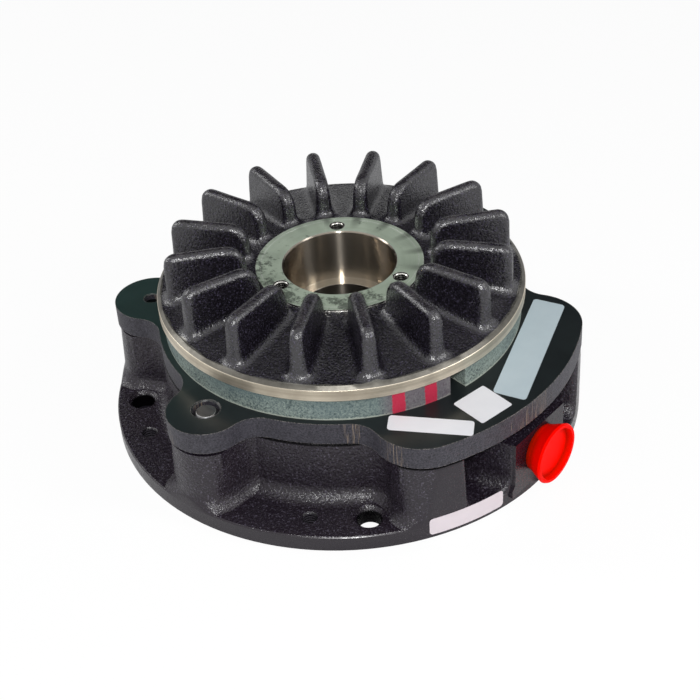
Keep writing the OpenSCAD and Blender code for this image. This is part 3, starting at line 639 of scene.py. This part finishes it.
# Painted shade: little light gets into the mounting holes, and none into the gap between the drum and the plate, so
# both are painted near black and less glossy
drilled = hole_mask(tree, place, MOUNT_HOLE, 4.0, 3.6)
gap = add(tree, RAMP, height, *GAP_SPAN)
painted_shade = add(tree, MATH, drilled, gap, operation="MAXIMUM")
gloss = add(tree, MATH, painted_shade, -0.4, 0.45, operation="MULTIPLY_ADD")
feed(tree, shader, {"Base Color": coated(tree, tone, (tapped, bare), (painted_shade, "060507")),
                    "Specular IOR Level": gloss})


# %% The disc's enamel: paler on the fins' tops, part wear and part painted highlight, with a wavy border at the chamfer
def bare_border(tree, place):
    """1 where the lathe cut through the enamel, along the disc's outer edge."""
    wave = add(tree, NOISE, {"Vector": place, "Scale": lumps(4), "Detail": 3.0})
    border = add(tree, MATH, wave, 2.6 * MM, axis_place(tree, place)[0], operation="MULTIPLY_ADD")
    return add(tree, RAMP, border, (RIM_R + 0.9) * MM, (RIM_R + 1.0) * MM)


fin_enamel, tree, shader, place, tone = cast_enamel(
    "black enamel on cast iron fins", "09070c", "110d15", "4a4558", 0.78, 0.24, bare_border)
height = axis_place(tree, place)[1]
# Paler towards the fins' tops: partly worn enamel, partly a painted highlight along the top edges
near_top = add(tree, RAMP, height, (TOP_Z - 1.2) * MM, (TOP_Z - 0.1) * MM)
patch = add(tree, NOISE, {"Vector": place, "Scale": lumps(2.5), "Detail": 4.0, "Roughness": 0.65})
worn_and_highlit_tops = add(tree, MATH, near_top, patch, operation="MULTIPLY")
worn_and_highlit_tops = add(tree, RAMP, worn_and_highlit_tops, 0.36, 0.62, 0, 0.4)
bare = bare_border(tree, place)
metallic = add(tree, MATH, bare, 0.6, operation="MULTIPLY")
feed(tree, shader, {"Base Color": coated(tree, tone, (worn_and_highlit_tops, "4e4a4c"), (bare, "6b6963")), "Metallic": metallic})


# %% Turned metal
def turned_metal(name, pale, dark, line_mm, rough_low, rough_high, edge=None):
    """Bare turned metal: fine rings left by the lathe, clouds where oil dried, brighter edges."""
    material, tree, shader, place = finish_named(name)
    radius, height = axis_place(tree, place)
    spun_place = add(tree, "ShaderNodeCombineXYZ", {"X": radius, "Z": height})
    lines = add(tree, NOISE, {"Vector": spun_place, "Scale": lumps(line_mm), "Detail": 2.0, "Roughness": 0.6})
    cloudy = add(tree, NOISE, {"Vector": place, "Scale": lumps(7), "Detail": 4.0, "Roughness": 0.6})
    both = add(tree, MATH, lines, cloudy, operation="MULTIPLY")
    share = add(tree, RAMP, both, 0.12, 0.42)
    edges, rounded = edge_mask(tree, 0.25)
    tone = coated(tree, dark, (share, pale), (edges, edge or pale))
    rough = add(tree, RAMP, cloudy, 0, 1, rough_low, rough_high)
    bump = add(tree, "ShaderNodeBump", {"Height": lines, "Distance": 0.03 * MM, "Strength": 0.5, "Normal": rounded})
    feed(tree, shader, {"Base Color": tone, "Roughness": rough, "Metallic": 1.0, "Normal": bump})
    return material, tree, shader, place, tone


# %% The disc's rim
# Turned grey iron: warm and bright from the last cut, with darker clouds painted along the
# band for the shading of its reflections, and grey and blotched on the chamfer above it
rim_iron, tree, shader, place, tone = turned_metal("turned grey iron, rim", "e4dac6", "a89e8d", 0.35, 0.34, 0.46)
# Painted reflection: darker clouds along the band
painted_reflection_clouds = add(tree, NOISE, {"Vector": place, "Scale": lumps(11), "Detail": 2.0})
painted_reflection_clouds = add(tree, RAMP, painted_reflection_clouds, 0.5, 0.7, 0, 0.55)
blotch = add(tree, NOISE, {"Vector": place, "Scale": lumps(2.2), "Detail": 4.0, "Roughness": 0.7})
blotched = coated(tree, "33312d", (blotch, "7c7972"))
chamfer = add(tree, RAMP, axis_place(tree, place)[1], (BAND_TOP + 0.05) * MM, (BAND_TOP + 0.15) * MM)
feed(tree, shader, {"Base Color": coated(tree, tone, (painted_reflection_clouds, "877e70"), (chamfer, blotched))})

# %% [markdown]
# ### The hub
#
# The hub's face was cut flat and then phosphated against rust, which leaves a thin
# green-grey film with smudges of dried oil. Its bore is ground bright to seat a taper
# bushing. It is one casting with the disc, but a CAD piece of its own, so one material
# tells face, bore, holes and ledge apart by radius and by which way a surface faces.

# %% The hub's face
# Phosphated iron: a pale, dull film that is only half metallic to the eye
SEAT_R = 17.46

hub_iron, tree, shader, place, tone = turned_metal(
    "faced and phosphated iron, ground bore", "c6d4c0", "b0beaa", 0.5, 0.36, 0.46, "e6e8e2")
radius, height = axis_place(tree, place)
to_back = add(tree, PARTS, place).outputs["Y"]
# Most of the dried oil is at the front of the face
smudge = add(tree, NOISE, {"Vector": place, "Scale": lumps(3.2), "Detail": 6.0, "Roughness": 0.8})
side = add(tree, RAMP, to_back, 12 * MM, -24 * MM, -0.05, 0.07)
smudge = add(tree, MATH, smudge, side, operation="ADD")
smudge = add(tree, RAMP, smudge, 0.55, 0.63, 0, 0.8)
# Painted reflection of the fins: dark radial bands on the face in front of them, strongest at its edge and on the
# hub's far side
wave = add(tree, MATH, azimuth(tree, place), FIN_COUNT, -FIN_COUNT * math.radians(FIN_PHASE),
           operation="MULTIPLY_ADD")
wave = add(tree, MATH, wave, operation="COSINE")
wave = add(tree, RAMP, wave, 0.3, 1.0, 0, 0.7)
outer = add(tree, RAMP, radius, 19 * MM, 25 * MM)
behind = add(tree, RAMP, to_back, 4 * MM, 14 * MM)
painted_fin_reflection = add(tree, MATH, wave, outer, operation="MULTIPLY")
painted_fin_reflection = add(tree, MATH, painted_fin_reflection, behind, operation="MULTIPLY")
face_tone = coated(tree, tone, (smudge, "4a5048"), (painted_fin_reflection, "565c53"))

# %% The hub's bore, threads and ledge
# Ground iron: warm and clean. Grinding marks run round the bore, so light draws upright lines in it
walls = wall_mask(tree, 0.9, 0.8)
bore = add(tree, RAMP, radius, (SEAT_R + 0.1) * MM, SEAT_R * MM)
metal = add(tree, MATH, walls, bore, operation="MAXIMUM")
oiled = add(tree, NOISE, {"Vector": place, "Scale": lumps(9), "Detail": 3.0})
# Threads of the tapped holes, painted as pale crests and dark grooves: painted highlight and shade of their relief
thread_highlight_and_shade = coated(tree, "2c2a27", (thread_bands(tree, height, 0.8, -0.3, 0.8), "d8d6d0"))
bolted = add(tree, RAMP, radius, (SEAT_R + 0.6) * MM, (SEAT_R + 0.8) * MM)
# The ledge at the foot of the bore is faced bright
ledge = add(tree, MATH, 1.0, walls, operation="SUBTRACT")
bore_tone = coated(tree, "7a7268", (oiled, "b0a89c"), (bolted, thread_highlight_and_shade), (ledge, "cdc5b7"))
feed(tree, shader, {
    "Base Color": coated(tree, face_tone, (metal, bore_tone)),
    "Metallic": add(tree, RAMP, metal, 0, 1, 0.4, 1.0),
    "Roughness": add(tree, RAMP, metal, 0, 1, 0.25, 0.24),
    "Anisotropic": add(tree, RAMP, metal, 0, 1, 0.7, 1.0),
    "Anisotropic Rotation": 0.25,
    "Tangent": add(tree, "ShaderNodeTangent", direction_type="RADIAL", axis="Z")})

# %% [markdown]
# ## The finished disc
#
# The cast fins are baked from the node tree. The rim, the friction face below it and
# the small step round the hub are turned surfaces, so they are one outline spun round
# the axis, with as many steps as the cast part's border has points. Both go into one
# mesh, which closes.

# %% Bake the fins
fins = baked(sector, repeat_tree, "disc_cast", {
    "Count": FIN_COUNT, "First angle": math.radians(FIN_PHASE), "Unevenness": 0.22 * MM, "Lump scale": lumps(5),
    "Inner radius": HUB_STEP_R * MM, "Outer radius": RIM_R * MM, "Fade": 2 * MM, "Seed": 3.0,
    "Material": fin_enamel})
fins.data.shade_smooth()
fins.data.materials.clear()
for finish in (fin_enamel, rim_iron, hub_iron):
    fins.data.materials.append(finish)
print("cast fins:", len(fins.data.polygons), "faces")

# %% Spin the turned outline
HUB_R = (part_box("disc_hub")[1][0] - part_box("disc_hub")[0][0]) / MM / 2
RELIEF_R, RELIEF_Z = 35.0, FACE_Z + 1.4
# Radius and height of each corner, from the rim down, inwards under the disc and up the hub
OUTLINE = [(RIM_R, RIM_Z), (DISC_R - 0.12, BAND_TOP + 0.12), (DISC_R, BAND_TOP), (DISC_R, FACE_Z + 0.3),
           (DISC_R - 0.3, FACE_Z), (RELIEF_R, FACE_Z), (RELIEF_R, RELIEF_Z), (HUB_R, RELIEF_Z),
           (HUB_R, HUB_TOP_Z), (HUB_STEP_R - 0.1, HUB_TOP_Z), (HUB_STEP_R, HUB_TOP_Z - 0.1),
           (HUB_STEP_R, HUB_FLOOR_Z)]
ROUND_STEPS = FIN_COUNT * 10

angles = math.radians(FIN_PHASE) + np.arange(ROUND_STEPS) * math.tau / ROUND_STEPS
points = [(r * math.cos(t), r * math.sin(t), z) for r, z in OUTLINE for t in angles]
turned = mesh_object("disc_turned", points, ring_faces(len(OUTLINE), ROUND_STEPS), 30.0)
for face in turned.data.polygons:
    face.material_index = 2 if face.center.z > HUB_FLOOR_Z * MM else 1
print("turned surfaces:", len(turned.data.polygons), "faces")


# %% Join both
def joined(name, first, *others, weld_mm=0.03):
    """Several objects as one mesh, welded where they meet, with faces pointing outwards."""
    form = bmesh.new()
    for piece in (first,) + others:
        form.from_mesh(piece.data)
    bmesh.ops.remove_doubles(form, verts=form.verts, dist=weld_mm * MM)
    bmesh.ops.recalc_face_normals(form, faces=form.faces)
    open_edges = sum(1 for e in form.edges if not e.is_manifold)
    form.to_mesh(first.data)
    form.free()
    for piece in others:
        bpy.data.objects.remove(piece)
    first.name = first.data.name = name
    print(name, "has", len(first.data.polygons), "faces and", open_edges, "open edges")
    return first


disc_casting = joined("disc_casting", fins, turned)
disc_casting.data.set_sharp_from_angle(angle=math.radians(32))
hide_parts("friction_disc")
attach(disc_casting, "disc")

# %% [markdown]
# ## The feet of the posts
#
# The posts of the CAD housing are straight. Cast ones have draft and stand on fillets,
# and the lathe that cut the flange round also cut their feet flush with it. The same
# kind of rule describes them: three kinds of post, the inlet's boss, a drum and a
# flange, joined by hollow corners. The result lies over the housing like a skin. It
# shows only where draft and fillets stand proud, and elsewhere it stays a quarter of a
# millimetre inside.

# %% The rule of the feet
FLANGE_R, FLANGE_T, DRUM_R, POST_TOP = 74.85, 5.5, 58.0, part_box("housing_casting")[1][2] / MM - 1.33
TURNED_R, SUNK, DRAFT, PROUD = FLANGE_R - 0.02, 0.25, 0.9, 0.03
POST_CENTRE, POST_FRONT_R, POST_EDGE_R = 62.5, 11.2, 1.5
# The wide lobe's corners, and the posts below them
LOBE_CENTRE, LOBE_R, LOBE_TURN, LOBE_POST = 59.8, 14.9, 27.9, 30
# Azimuth and half width of each kind of post; the other three mirror them
POSTS = ((LOBE_POST, 9.3), (90, 9.9), (150, 9.9))
INLET_FACE_X, INLET_HALF_W, INLET_FLARE, INLET_TOP = 74.66, 12.3, 2.5, 21.75
# Hollow corners between post and drum, boss and drum, and walls and flange
POST_HOLLOW, BOSS_HOLLOW, FLANGE_HOLLOW = 6.0, 4.5, 5.5


def feet_rule(p):
    """Roughly the distance in mm to the housing's outside with draft and fillets. Below zero is solid."""
    x, y, z = p[:, 0], p[:, 1], p[:, 2]
    radius, turn = np.hypot(x, y), np.degrees(np.abs(np.arctan2(y, x)))
    grown = PROUD + DRAFT * np.clip((POST_TOP - z) / (POST_TOP - FLANGE_T), 0, 1)
    solid = radius - DRUM_R + SUNK
    for middle, half_width in POSTS:
        lean = np.radians(turn - middle)
        u, v = radius * np.cos(lean), radius * np.sin(lean)
        if middle == LOBE_POST:
            to_corner = math.radians(LOBE_TURN - middle)
            corner = np.hypot(u - LOBE_CENTRE * math.cos(to_corner), v - LOBE_CENTRE * math.sin(to_corner)) - LOBE_R
            front = np.where(turn > LOBE_TURN, corner, radius - LOBE_CENTRE - LOBE_R)
        else:
            front = np.hypot(u - POST_CENTRE, v) - POST_FRONT_R
        post = rounded_edge(np.abs(v) - half_width, front, POST_EDGE_R) - grown
        solid = hollow_corner(post, solid, POST_HOLLOW)
    flare = INLET_FLARE * np.clip((FLANGE_R - x) / (FLANGE_R - 63), 0, 1)
    boss = np.maximum(np.abs(y) - INLET_HALF_W - flare - grown * 0.6, z - INLET_TOP)
    solid = hollow_corner(np.maximum(boss, -x), solid, BOSS_HOLLOW)
    flange = z - FLANGE_T + SUNK + np.maximum(0, radius - TURNED_R + 0.8)
    solid = hollow_corner(solid, flange, FLANGE_HOLLOW)
    return np.maximum(solid, np.maximum(radius - TURNED_R, x - INLET_FACE_X))


print("post tops at", round(POST_TOP, 2))

# %% Azimuths of the rays, closer together where posts and boss have their sides
turns = [np.arange(0, 360, 0.5)]
for middle, half_width in POSTS:
    turns += [side * middle + other * np.arange(6.5, 11.5, 0.125) for side in (-1, 1) for other in (-1, 1)]
turns += [side * np.arange(8.5, 15.5, 0.125) for side in (-1, 1)]
turns = np.radians(np.unique(np.round(np.concatenate(turns) % 360, 3)))
outwards = np.column_stack([np.cos(turns), np.sin(turns), np.zeros(len(turns))])
# The skin ends at the turned edge, and at the inlet's flat face
limit = np.minimum(TURNED_R, INLET_FACE_X / np.maximum(outwards[:, 0], 0.1))
print("rays round the housing:", len(turns))

# %% Walk down the walls and out over the flange
SHELL_T, SKIN_LOW, SKIN_UNDER, HOLE_MOUTH_R = 1.2, 4.2, 4.0, 4.75


def around(radius, z):
    """A ring of points on the rays' azimuths."""
    heights = np.zeros(len(turns)) + z
    return outwards * np.reshape(radius, (-1, 1)) + np.column_stack([np.zeros((len(turns), 2)), heights])


def open_holes(row):
    """Pulls a ring down round the mounting holes, so that these stay open."""
    hole = HOLE_CIRCLE_R / math.sqrt(2)
    off = np.hypot(np.abs(row[:, 0]) - hole, np.abs(row[:, 1]) - hole)
    cone = FLANGE_T + 1.2 * (off - HOLE_MOUTH_R - 0.2)
    z = np.minimum(row[:, 2], cone) - np.maximum(0, 2.5 - np.abs(row[:, 2] - cone)) ** 2 / 10
    row[:, 2] = np.maximum(z, SKIN_LOW)
    return row


def feet_rings():
    """Rings of points down the walls, over the flange to its edge, and back inside a thin shell."""
    foot_z = FLANGE_T - SUNK + FLANGE_HOLLOW
    levels = (POST_TOP, 23.0, INLET_TOP + 0.05, INLET_TOP - 0.05, 20.0, 17.0, 14.5, 12.5, foot_z)
    rings = [walk_out(feet_rule, around(50.0, z), outwards, 30, 0.5) for z in levels]
    back = [points - outwards * SHELL_T for points in rings[::-1]]
    wall = np.hypot(rings[-1][:, 0], rings[-1][:, 1])
    # Where the wall already stands at the edge, the ring goes straight down
    flush = wall > limit - 0.4
    upwards = np.tile([0, 0, 1.0], (len(turns), 1))
    for share in np.linspace(0, 1, 25)[1:] ** 1.4:
        radius = wall + (limit - 0.03 - wall) * share
        z = walk_out(feet_rule, around(radius, 3.0), upwards, foot_z - 3.0, 0.25)[:, 2]
        z = np.where(flush, np.minimum(z, foot_z + (4.5 - foot_z) * share), z)
        rings.append(open_holes(around(radius, z)))
    return np.array(rings + [around(limit, SKIN_UNDER), around(wall - SHELL_T, SKIN_UNDER)] + back)


feet = feet_rings()
print("feet:", feet.shape[:2], "reach", round(float(np.hypot(feet[..., 0], feet[..., 1]).max()), 2))
cast_feet = mesh_object("cast_feet", feet.reshape(-1, 3), ring_faces(*feet.shape[:2], True), 50)
cast_feet = joined("cast_feet", cast_feet, weld_mm=0.0005)

# %% Drill the flange's holes and the air port through the skin
DRILL_MM, MOUNT_DRILL_R, TAP_DRILL_R = 12, 4.85, 2.65
PORT_DRILL_R, PORT_AT = 5.3, (71.0, 0, 13.6)

drills = bmesh.new()
places = [((x * hole[0], y * hole[1], 4.0), radius, Matrix())
          for hole, radius in ((MOUNT_HOLE, MOUNT_DRILL_R), (TAPPED_HOLE, TAP_DRILL_R))
          for x, y in ((1, 1), (-1, 1), (-1, -1), (1, -1))]
places.append((PORT_AT, PORT_DRILL_R, Matrix.Rotation(math.pi / 2, 4, "Y")))
for middle, radius, lean in places:
    bmesh.ops.create_cone(drills, cap_ends=True, segments=64 if middle == PORT_AT else 48,
                          radius1=radius * MM, radius2=radius * MM, depth=DRILL_MM * MM,
                          matrix=Matrix.Translation(Vector(middle) * MM) @ lean)
drill_mesh = bpy.data.meshes.new("drills")
drills.to_mesh(drill_mesh)
drills.free()
drill_set = bpy.data.objects.new("drills", drill_mesh)
scene.collection.objects.link(drill_set)
cut = cast_feet.modifiers.new("drilled", "BOOLEAN")
cut.operation, cut.solver, cut.object = "DIFFERENCE", "EXACT", drill_set
graph = bpy.context.evaluated_depsgraph_get()
cast_feet.data = bpy.data.meshes.new_from_object(cast_feet.evaluated_get(graph))
cast_feet.modifiers.remove(cut)
bpy.data.objects.remove(drill_set)
cast_feet.data.name = "cast_feet"
print("drilled feet:", len(cast_feet.data.polygons), "faces")
cast_feet.data.set_sharp_from_angle(angle=math.radians(50))
cast_feet.data.materials.append(housing_enamel)
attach(cast_feet, "housing")

# %% [markdown]
# ## Blank labels
#
# The brake carries a few stuck-on labels. They stay blank here: thin vinyl film with
# rounded corners, laid flat on the carrier plate, and one bent round the flange. Each
# is cut into narrow columns, whose ends get shorter towards the corners, and a small
# function says where a point of the label goes.

# %% Vinyl of the blank labels
# Vinyl film: even in tone and half matt, with faint waves from the glue under it
def vinyl(name, pale, dull):
    """Vinyl film, slightly clouded between two tones."""
    material, tree, shader, place = finish_named(name)
    cloudy = add(tree, NOISE, {"Vector": place, "Scale": lumps(4), "Detail": 4.0, "Roughness": 0.6})
    waves = add(tree, "ShaderNodeBump", {"Height": cloudy, "Distance": 0.05 * MM, "Strength": 0.4})
    feed(tree, shader, {"Base Color": coated(tree, pale, (cloudy, dull)), "Roughness": 0.45, "Normal": waves})
    return material


label_white = vinyl("white vinyl, blank", "eaeaed", "e0e0e4")
label_blue = vinyl("pale blue-grey vinyl, blank", "bfcdd2", "b0bfc6")
label_pink = vinyl("pinkish white vinyl, blank", "d3cace", "c8bec3")


# %% Cut a label
LABEL_T = 0.12


def label(name, length, width, corner, where):
    """A sheet of length by width mm. where(u, v, t) turns its own place into x, y, z."""
    ends = [corner * (1 - math.cos(math.radians(t))) for t in np.linspace(0, 90, 7)]
    us = [-length / 2 + end for end in ends]
    us += list(np.linspace(-length / 2 + corner, length / 2 - corner, 14))[1:-1]
    us += [length / 2 - end for end in ends[::-1]]
    points = []
    for u in us:
        past = max(0.0, abs(u) - (length / 2 - corner))
        half = width / 2 - corner + math.sqrt(max(0.0, corner ** 2 - past ** 2))
        points += [where(u, -half, LABEL_T), where(u, half, LABEL_T), where(u, half, 0.0), where(u, -half, 0.0)]
    faces = [(4 * i + k, 4 * i + (k + 1) % 4, 4 * (i + 1) + (k + 1) % 4, 4 * (i + 1) + k)
             for i in range(len(us) - 1) for k in range(4)]
    faces += [(3, 2, 1, 0), tuple(4 * (len(us) - 1) + k for k in range(4))]
    return joined(name, mesh_object(name, points, faces, 30.0), weld_mm=0.001)


# %% Three labels on the plate
PLATE_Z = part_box("carrier_plate")[1][2] / MM
PHOTO_TURN = math.radians(42)
PLATE_LABELS = {  # three corners in mm, in axes turned to the photograph, and the corners' radius
    "long_label": ((11.1, -55.3), (35.1, -60.7), (34.0, -67.1), 1.0, label_white),
    "square_label": ((39.3, -44.6), (46.7, -54.3), (37.2, -61.9), 0.6, label_white),
    "data_label": ((60.2, -2.3), (69.2, -7.2), (50.7, -52.8), 1.2, label_blue)}


def on_plate(*corners):
    """A label's length and width from three of its corners, and the function that lays it on the plate."""
    cos, sin = math.cos(PHOTO_TURN), math.sin(PHOTO_TURN)
    a, b, c = (np.array([x * cos - y * sin, x * sin + y * cos]) for x, y in corners)
    length, width = np.linalg.norm(b - a), np.linalg.norm(c - b)
    u, v, middle = (b - a) / length, (c - b) / width, (a + c) / 2
    return length, width, lambda x, y, t: (*(middle + x * u + y * v), PLATE_Z + t)


for name, (a, b, c, corner_r, finish) in PLATE_LABELS.items():
    length, width, where = on_plate(a, b, c)
    print(name, "is", round(float(length), 1), "by", round(float(width), 1), "mm")
    piece = label(name, length, width, corner_r, where)
    piece.data.materials.append(finish)
    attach(piece, "carrier")

# %% One label round the flange
RIM_LABEL_MIDDLE, RIM_LABEL_SPAN, RIM_LABEL_W, RIM_LABEL_Z = math.radians(-22.4), math.radians(19.2), 6.0, 4.5
rim_label = label("rim_label", RIM_LABEL_SPAN * FLANGE_R, RIM_LABEL_W, 1.2, lambda u, v, t: (
    (FLANGE_R + t) * math.cos(RIM_LABEL_MIDDLE + u / FLANGE_R),
    (FLANGE_R + t) * math.sin(RIM_LABEL_MIDDLE + u / FLANGE_R), RIM_LABEL_Z + v))
rim_label.data.materials.append(label_pink)
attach(rim_label, "housing")

# %% [markdown]
# ## The carrier plate
#
# The plate is steel, cut out with a flame and then blackened in a bath. Its faces are
# smooth, and paler and teal towards one end: the film's own tint with a painted sheen
# over it. The cut edge is rougher: dark and grainy, with upright lines where the flame's
# drag marks were rubbed bare.

# %% Top of the plate
# Blackened steel: a thin satin film, with clouds where the bath dried
plate_black, tree, shader, place = finish_named("blackened steel plate, flame-cut edges")
side = wall_mask(tree, 0.75, 0.5)
edges, rounded = edge_mask(tree, 0.35)
patch = add(tree, NOISE, {"Vector": place, "Scale": lumps(6), "Detail": 4.0, "Roughness": 0.6})
# Painted sheen: the top is paler and more teal towards the lobe at negative X
along = add(tree, RAMP, add(tree, PARTS, place).outputs["X"], -66 * MM, 6 * MM)
dark_tone = coated(tree, "1e2d2b", (along, "121517"))
pale_tone = coated(tree, "2b403d", (along, "212728"))
top_tone = coated(tree, dark_tone, (patch, pale_tone))

# %% Cut edge of the plate
# Azimuth and half width in degrees of each place where the edge is rubbed
BARE_PLACES = (-47.5, 4.5), (-38.5, 4.0), (-3.0, 11.0), (-93.5, 2.5), (60, 6), (112, 5), (-152, 3)

grain = add(tree, NOISE, {"Vector": place, "Scale": lumps(0.28), "Detail": 2.0, "Roughness": 0.7})
spread = add(tree, RAMP, grain, 0.35, 0.68)
squeezed = add(tree, "ShaderNodeMapping", {"Vector": place, "Scale": (1, 1, 0.03)})
lines = add(tree, NOISE, {"Vector": squeezed, "Scale": lumps(0.16), "Detail": 2.0, "Roughness": 0.7})
turn = azimuth(tree, place)
most = 0.0
for middle, half in BARE_PLACES:
    near = add(tree, RAMP, angle_from(tree, turn, middle), math.radians(half), math.radians(half * 0.4))
    most = add(tree, MATH, most, near, operation="MAXIMUM")
scratched = add(tree, MATH, most, 0.22, lines, operation="MULTIPLY_ADD")
scratched = add(tree, RAMP, scratched, 0.79, 0.86, 0, 0.8)
cut_tone = coated(tree, "1c1b21", (spread, "434149"), (scratched, "8a7a6a"))
# The burr along the edges is rubbed bare here and there
chips = add(tree, MATH, edges, grain, operation="MULTIPLY")
chips = add(tree, RAMP, chips, 0.42, 0.6)
teeth = add(tree, MATH, grain, side, operation="MULTIPLY")
wavy = add(tree, "ShaderNodeBump", {"Height": patch, "Distance": 0.03 * MM, "Strength": 0.4, "Normal": rounded})
feed(tree, shader, {
    "Base Color": coated(tree, top_tone, (side, cut_tone), (chips, "8d8781")),
    "Roughness": add(tree, RAMP, side, 0, 1, 0.3, 0.48),
    "Specular IOR Level": 0.35,
    "Normal": add(tree, "ShaderNodeBump", {
        "Height": teeth, "Distance": 0.3 * MM, "Strength": 1.0, "Normal": wavy})})

# %% [markdown]
# ## The friction segments
#
# Friction lining is moulded from resin, fibres and grit. Its outside is a matt grey
# with pits, its lower edge is frayed pale, and broad dull clouds lie over it. Someone
# ticked one segment with two strokes of red crayon. All of it is paint on an exact CAD
# piece, so it is made by masks on place.

# %% Friction lining
# Moulded lining: matt, speckled by its grit, with no gloss to speak of
lining, tree, shader, place = finish_named("moulded friction lining")
height = axis_place(tree, place)[1]
grit = add(tree, NOISE, {"Vector": place, "Scale": lumps(0.32), "Detail": 2.0, "Roughness": 0.75})
broad = add(tree, NOISE, {"Vector": place, "Scale": lumps(7), "Detail": 3.0, "Roughness": 0.6})
light = add(tree, MATH, broad, 0.5, grit, operation="MULTIPLY_ADD")
light = add(tree, RAMP, light, 0.5, 1.0)
pits = add(tree, NOISE, {"Vector": place, "Scale": lumps(0.35), "Detail": 1.0})
pits = add(tree, RAMP, pits, 0.42, 0.3, 0, 0.75)
# Painted shade: the top of the lining, under the disc, is mixed towards a darker grey
painted_shade_under_disc = add(tree, RAMP, height, (PLATE_Z + 2) * MM, FACE_Z * MM, 0, 0.55)
dull = add(tree, NOISE, {"Vector": place, "Scale": lumps(16), "Detail": 1.0})
dull = add(tree, RAMP, dull, 0.48, 0.62, 0, 0.6)
frayed = add(tree, MATH, grit, -1.6 * MM, height, operation="MULTIPLY_ADD")
frayed = add(tree, RAMP, frayed, (PLATE_Z - 0.1) * MM, (PLATE_Z - 0.5) * MM)
tone = coated(tree, "3c484a", (light, "a2afa5"), (pits, "20292a"), (painted_shade_under_disc, "4d5c5a"), (dull, "4a5c61"),
              (frayed, "a9b1a6"))
bump = add(tree, "ShaderNodeBump", {"Height": grit, "Distance": 0.12 * MM, "Strength": 0.8})
feed(tree, shader, {"Roughness": 0.75, "Specular IOR Level": 0.3, "Normal": bump})

# %% Two crimson crayon marks across the outside of one segment, and a mauve smear at its end
MARKS, MARK_HALF = (-33.4, -23.0), 2.0

turn = azimuth(tree, place)
smear = add(tree, RAMP, turn, math.radians(-40), math.radians(-36), 0, 0.6)
ending = add(tree, RAMP, turn, math.radians(-13), math.radians(-16))
smear = add(tree, MATH, smear, ending, operation="MULTIPLY")
tone = coated(tree, tone, (smear, "5e4a56"))
for middle in MARKS:
    ragged = add(tree, MATH, grit, math.radians(1.2), angle_from(tree, turn, middle),
                 operation="MULTIPLY_ADD")
    stripe = add(tree, RAMP, ragged, math.radians(MARK_HALF + 0.75), math.radians(MARK_HALF + 0.45), 0, 0.9)
    tone = coated(tree, tone, (stripe, "b3183c"))
feed(tree, shader, {"Base Color": tone})

# %% [markdown]
# ## The smaller finishes
#
# Each of the remaining pieces keeps its CAD shape, which is exact, and gets the
# surface that its real material has. The metals differ in tone, in how far apart the
# lathe's lines are, and in roughness.

# %% Aluminium piston, ground pins, plated screws, brass screws, spring wire
# Turned aluminium: pale and cool, with clear rings
piston_metal = turned_metal("turned aluminium", "d6d8da", "b4b7ba", 0.4, 0.28, 0.4)[0]
# Ground hardened steel: mid grey, dull on its end, with a bright bevel
pin_steel = turned_metal("ground hardened steel", "7d7d7f", "58585a", 0.8, 0.35, 0.5, "d2d2cf")[0]
# Black oxide: near black and satin, with bluish edges as a painted glint
screw_steel = turned_metal("black-oxide steel", "24282a", "141718", 0.5, 0.3, 0.45, "4d6a6c")[0]
# Zinc plating on stamped steel: light grey and slightly clouded
washer_steel = turned_metal("stamped steel, zinc plated", "bfc3c2", "8f9391", 0.8, 0.35, 0.5)[0]
# Drawn wire under oil: darker grey, with a long soft highlight
spring_steel = turned_metal("drawn spring wire, oiled", "8d8f90", "5f6162", 0.5, 0.3, 0.45)[0]
# Turned brass: yellow, the warmest of the metals
screw_brass = turned_metal("turned brass", "d8b25e", "a98535", 0.4, 0.25, 0.4)[0]

# %% Rubber seals
# Nitrile rubber: near black, with a dull bloom
seal_rubber, tree, shader, place = finish_named("nitrile rubber")
bloom = add(tree, NOISE, {"Vector": place, "Scale": lumps(5), "Detail": 4.0})
feed(tree, shader, {"Base Color": coated(tree, "141415", (bloom, "262628")), "Roughness": 0.55})

# %% Red plug
# Moulded polyethylene: waxy and strongly coloured, with hardly a highlight
plug_plastic, tree, shader, place = finish_named("moulded polyethylene, red")
flow = add(tree, NOISE, {"Vector": place, "Scale": lumps(6), "Detail": 2.0})
# Painted shade: the red darkens where ambient occlusion finds corners, as little light comes out of them
corners = add(tree, "ShaderNodeAmbientOcclusion", {"Distance": 4 * MM}, samples=8).outputs["AO"]
corners = add(tree, RAMP, corners, 0.45, 0.9)
orange_peel = add(tree, NOISE, {"Vector": place, "Scale": lumps(2.5), "Detail": 1.0})
feed(tree, shader, {
    "Base Color": coated(tree, "8e1400", (corners, coated(tree, "f00400", (flow, "fa0c02")))),
    "Roughness": 0.4, "Specular IOR Level": 0.03, "Specular Tint": paint("ff3010"),
    "Normal": add(tree, "ShaderNodeBump", {"Height": orange_peel, "Distance": 0.05 * MM, "Strength": 0.6})})

# %% Give every CAD piece its finish
FINISHES = {
    "housing_casting": housing_enamel, "carrier_plate": plate_black, "disc_hub": hub_iron,
    "piston": piston_metal, "piston_outer_seal": seal_rubber, "piston_inner_seal": seal_rubber,
    "facing_segment": lining, "facing_screws": screw_brass, "guide_pin": pin_steel,
    "return_screw": screw_steel, "return_washer": washer_steel, "return_spring": spring_steel,
    "port_plug": plug_plastic}
for node_name, piece in nodes.items():
    if node_name != "friction_disc":
        finish = FINISHES.get(node_name) or FINISHES[node_name.rsplit("_", 1)[0]]
        piece.data.materials.clear()
        piece.data.materials.append(finish)
print("finishes in use:", sum(1 for m in bpy.data.materials if m.users))
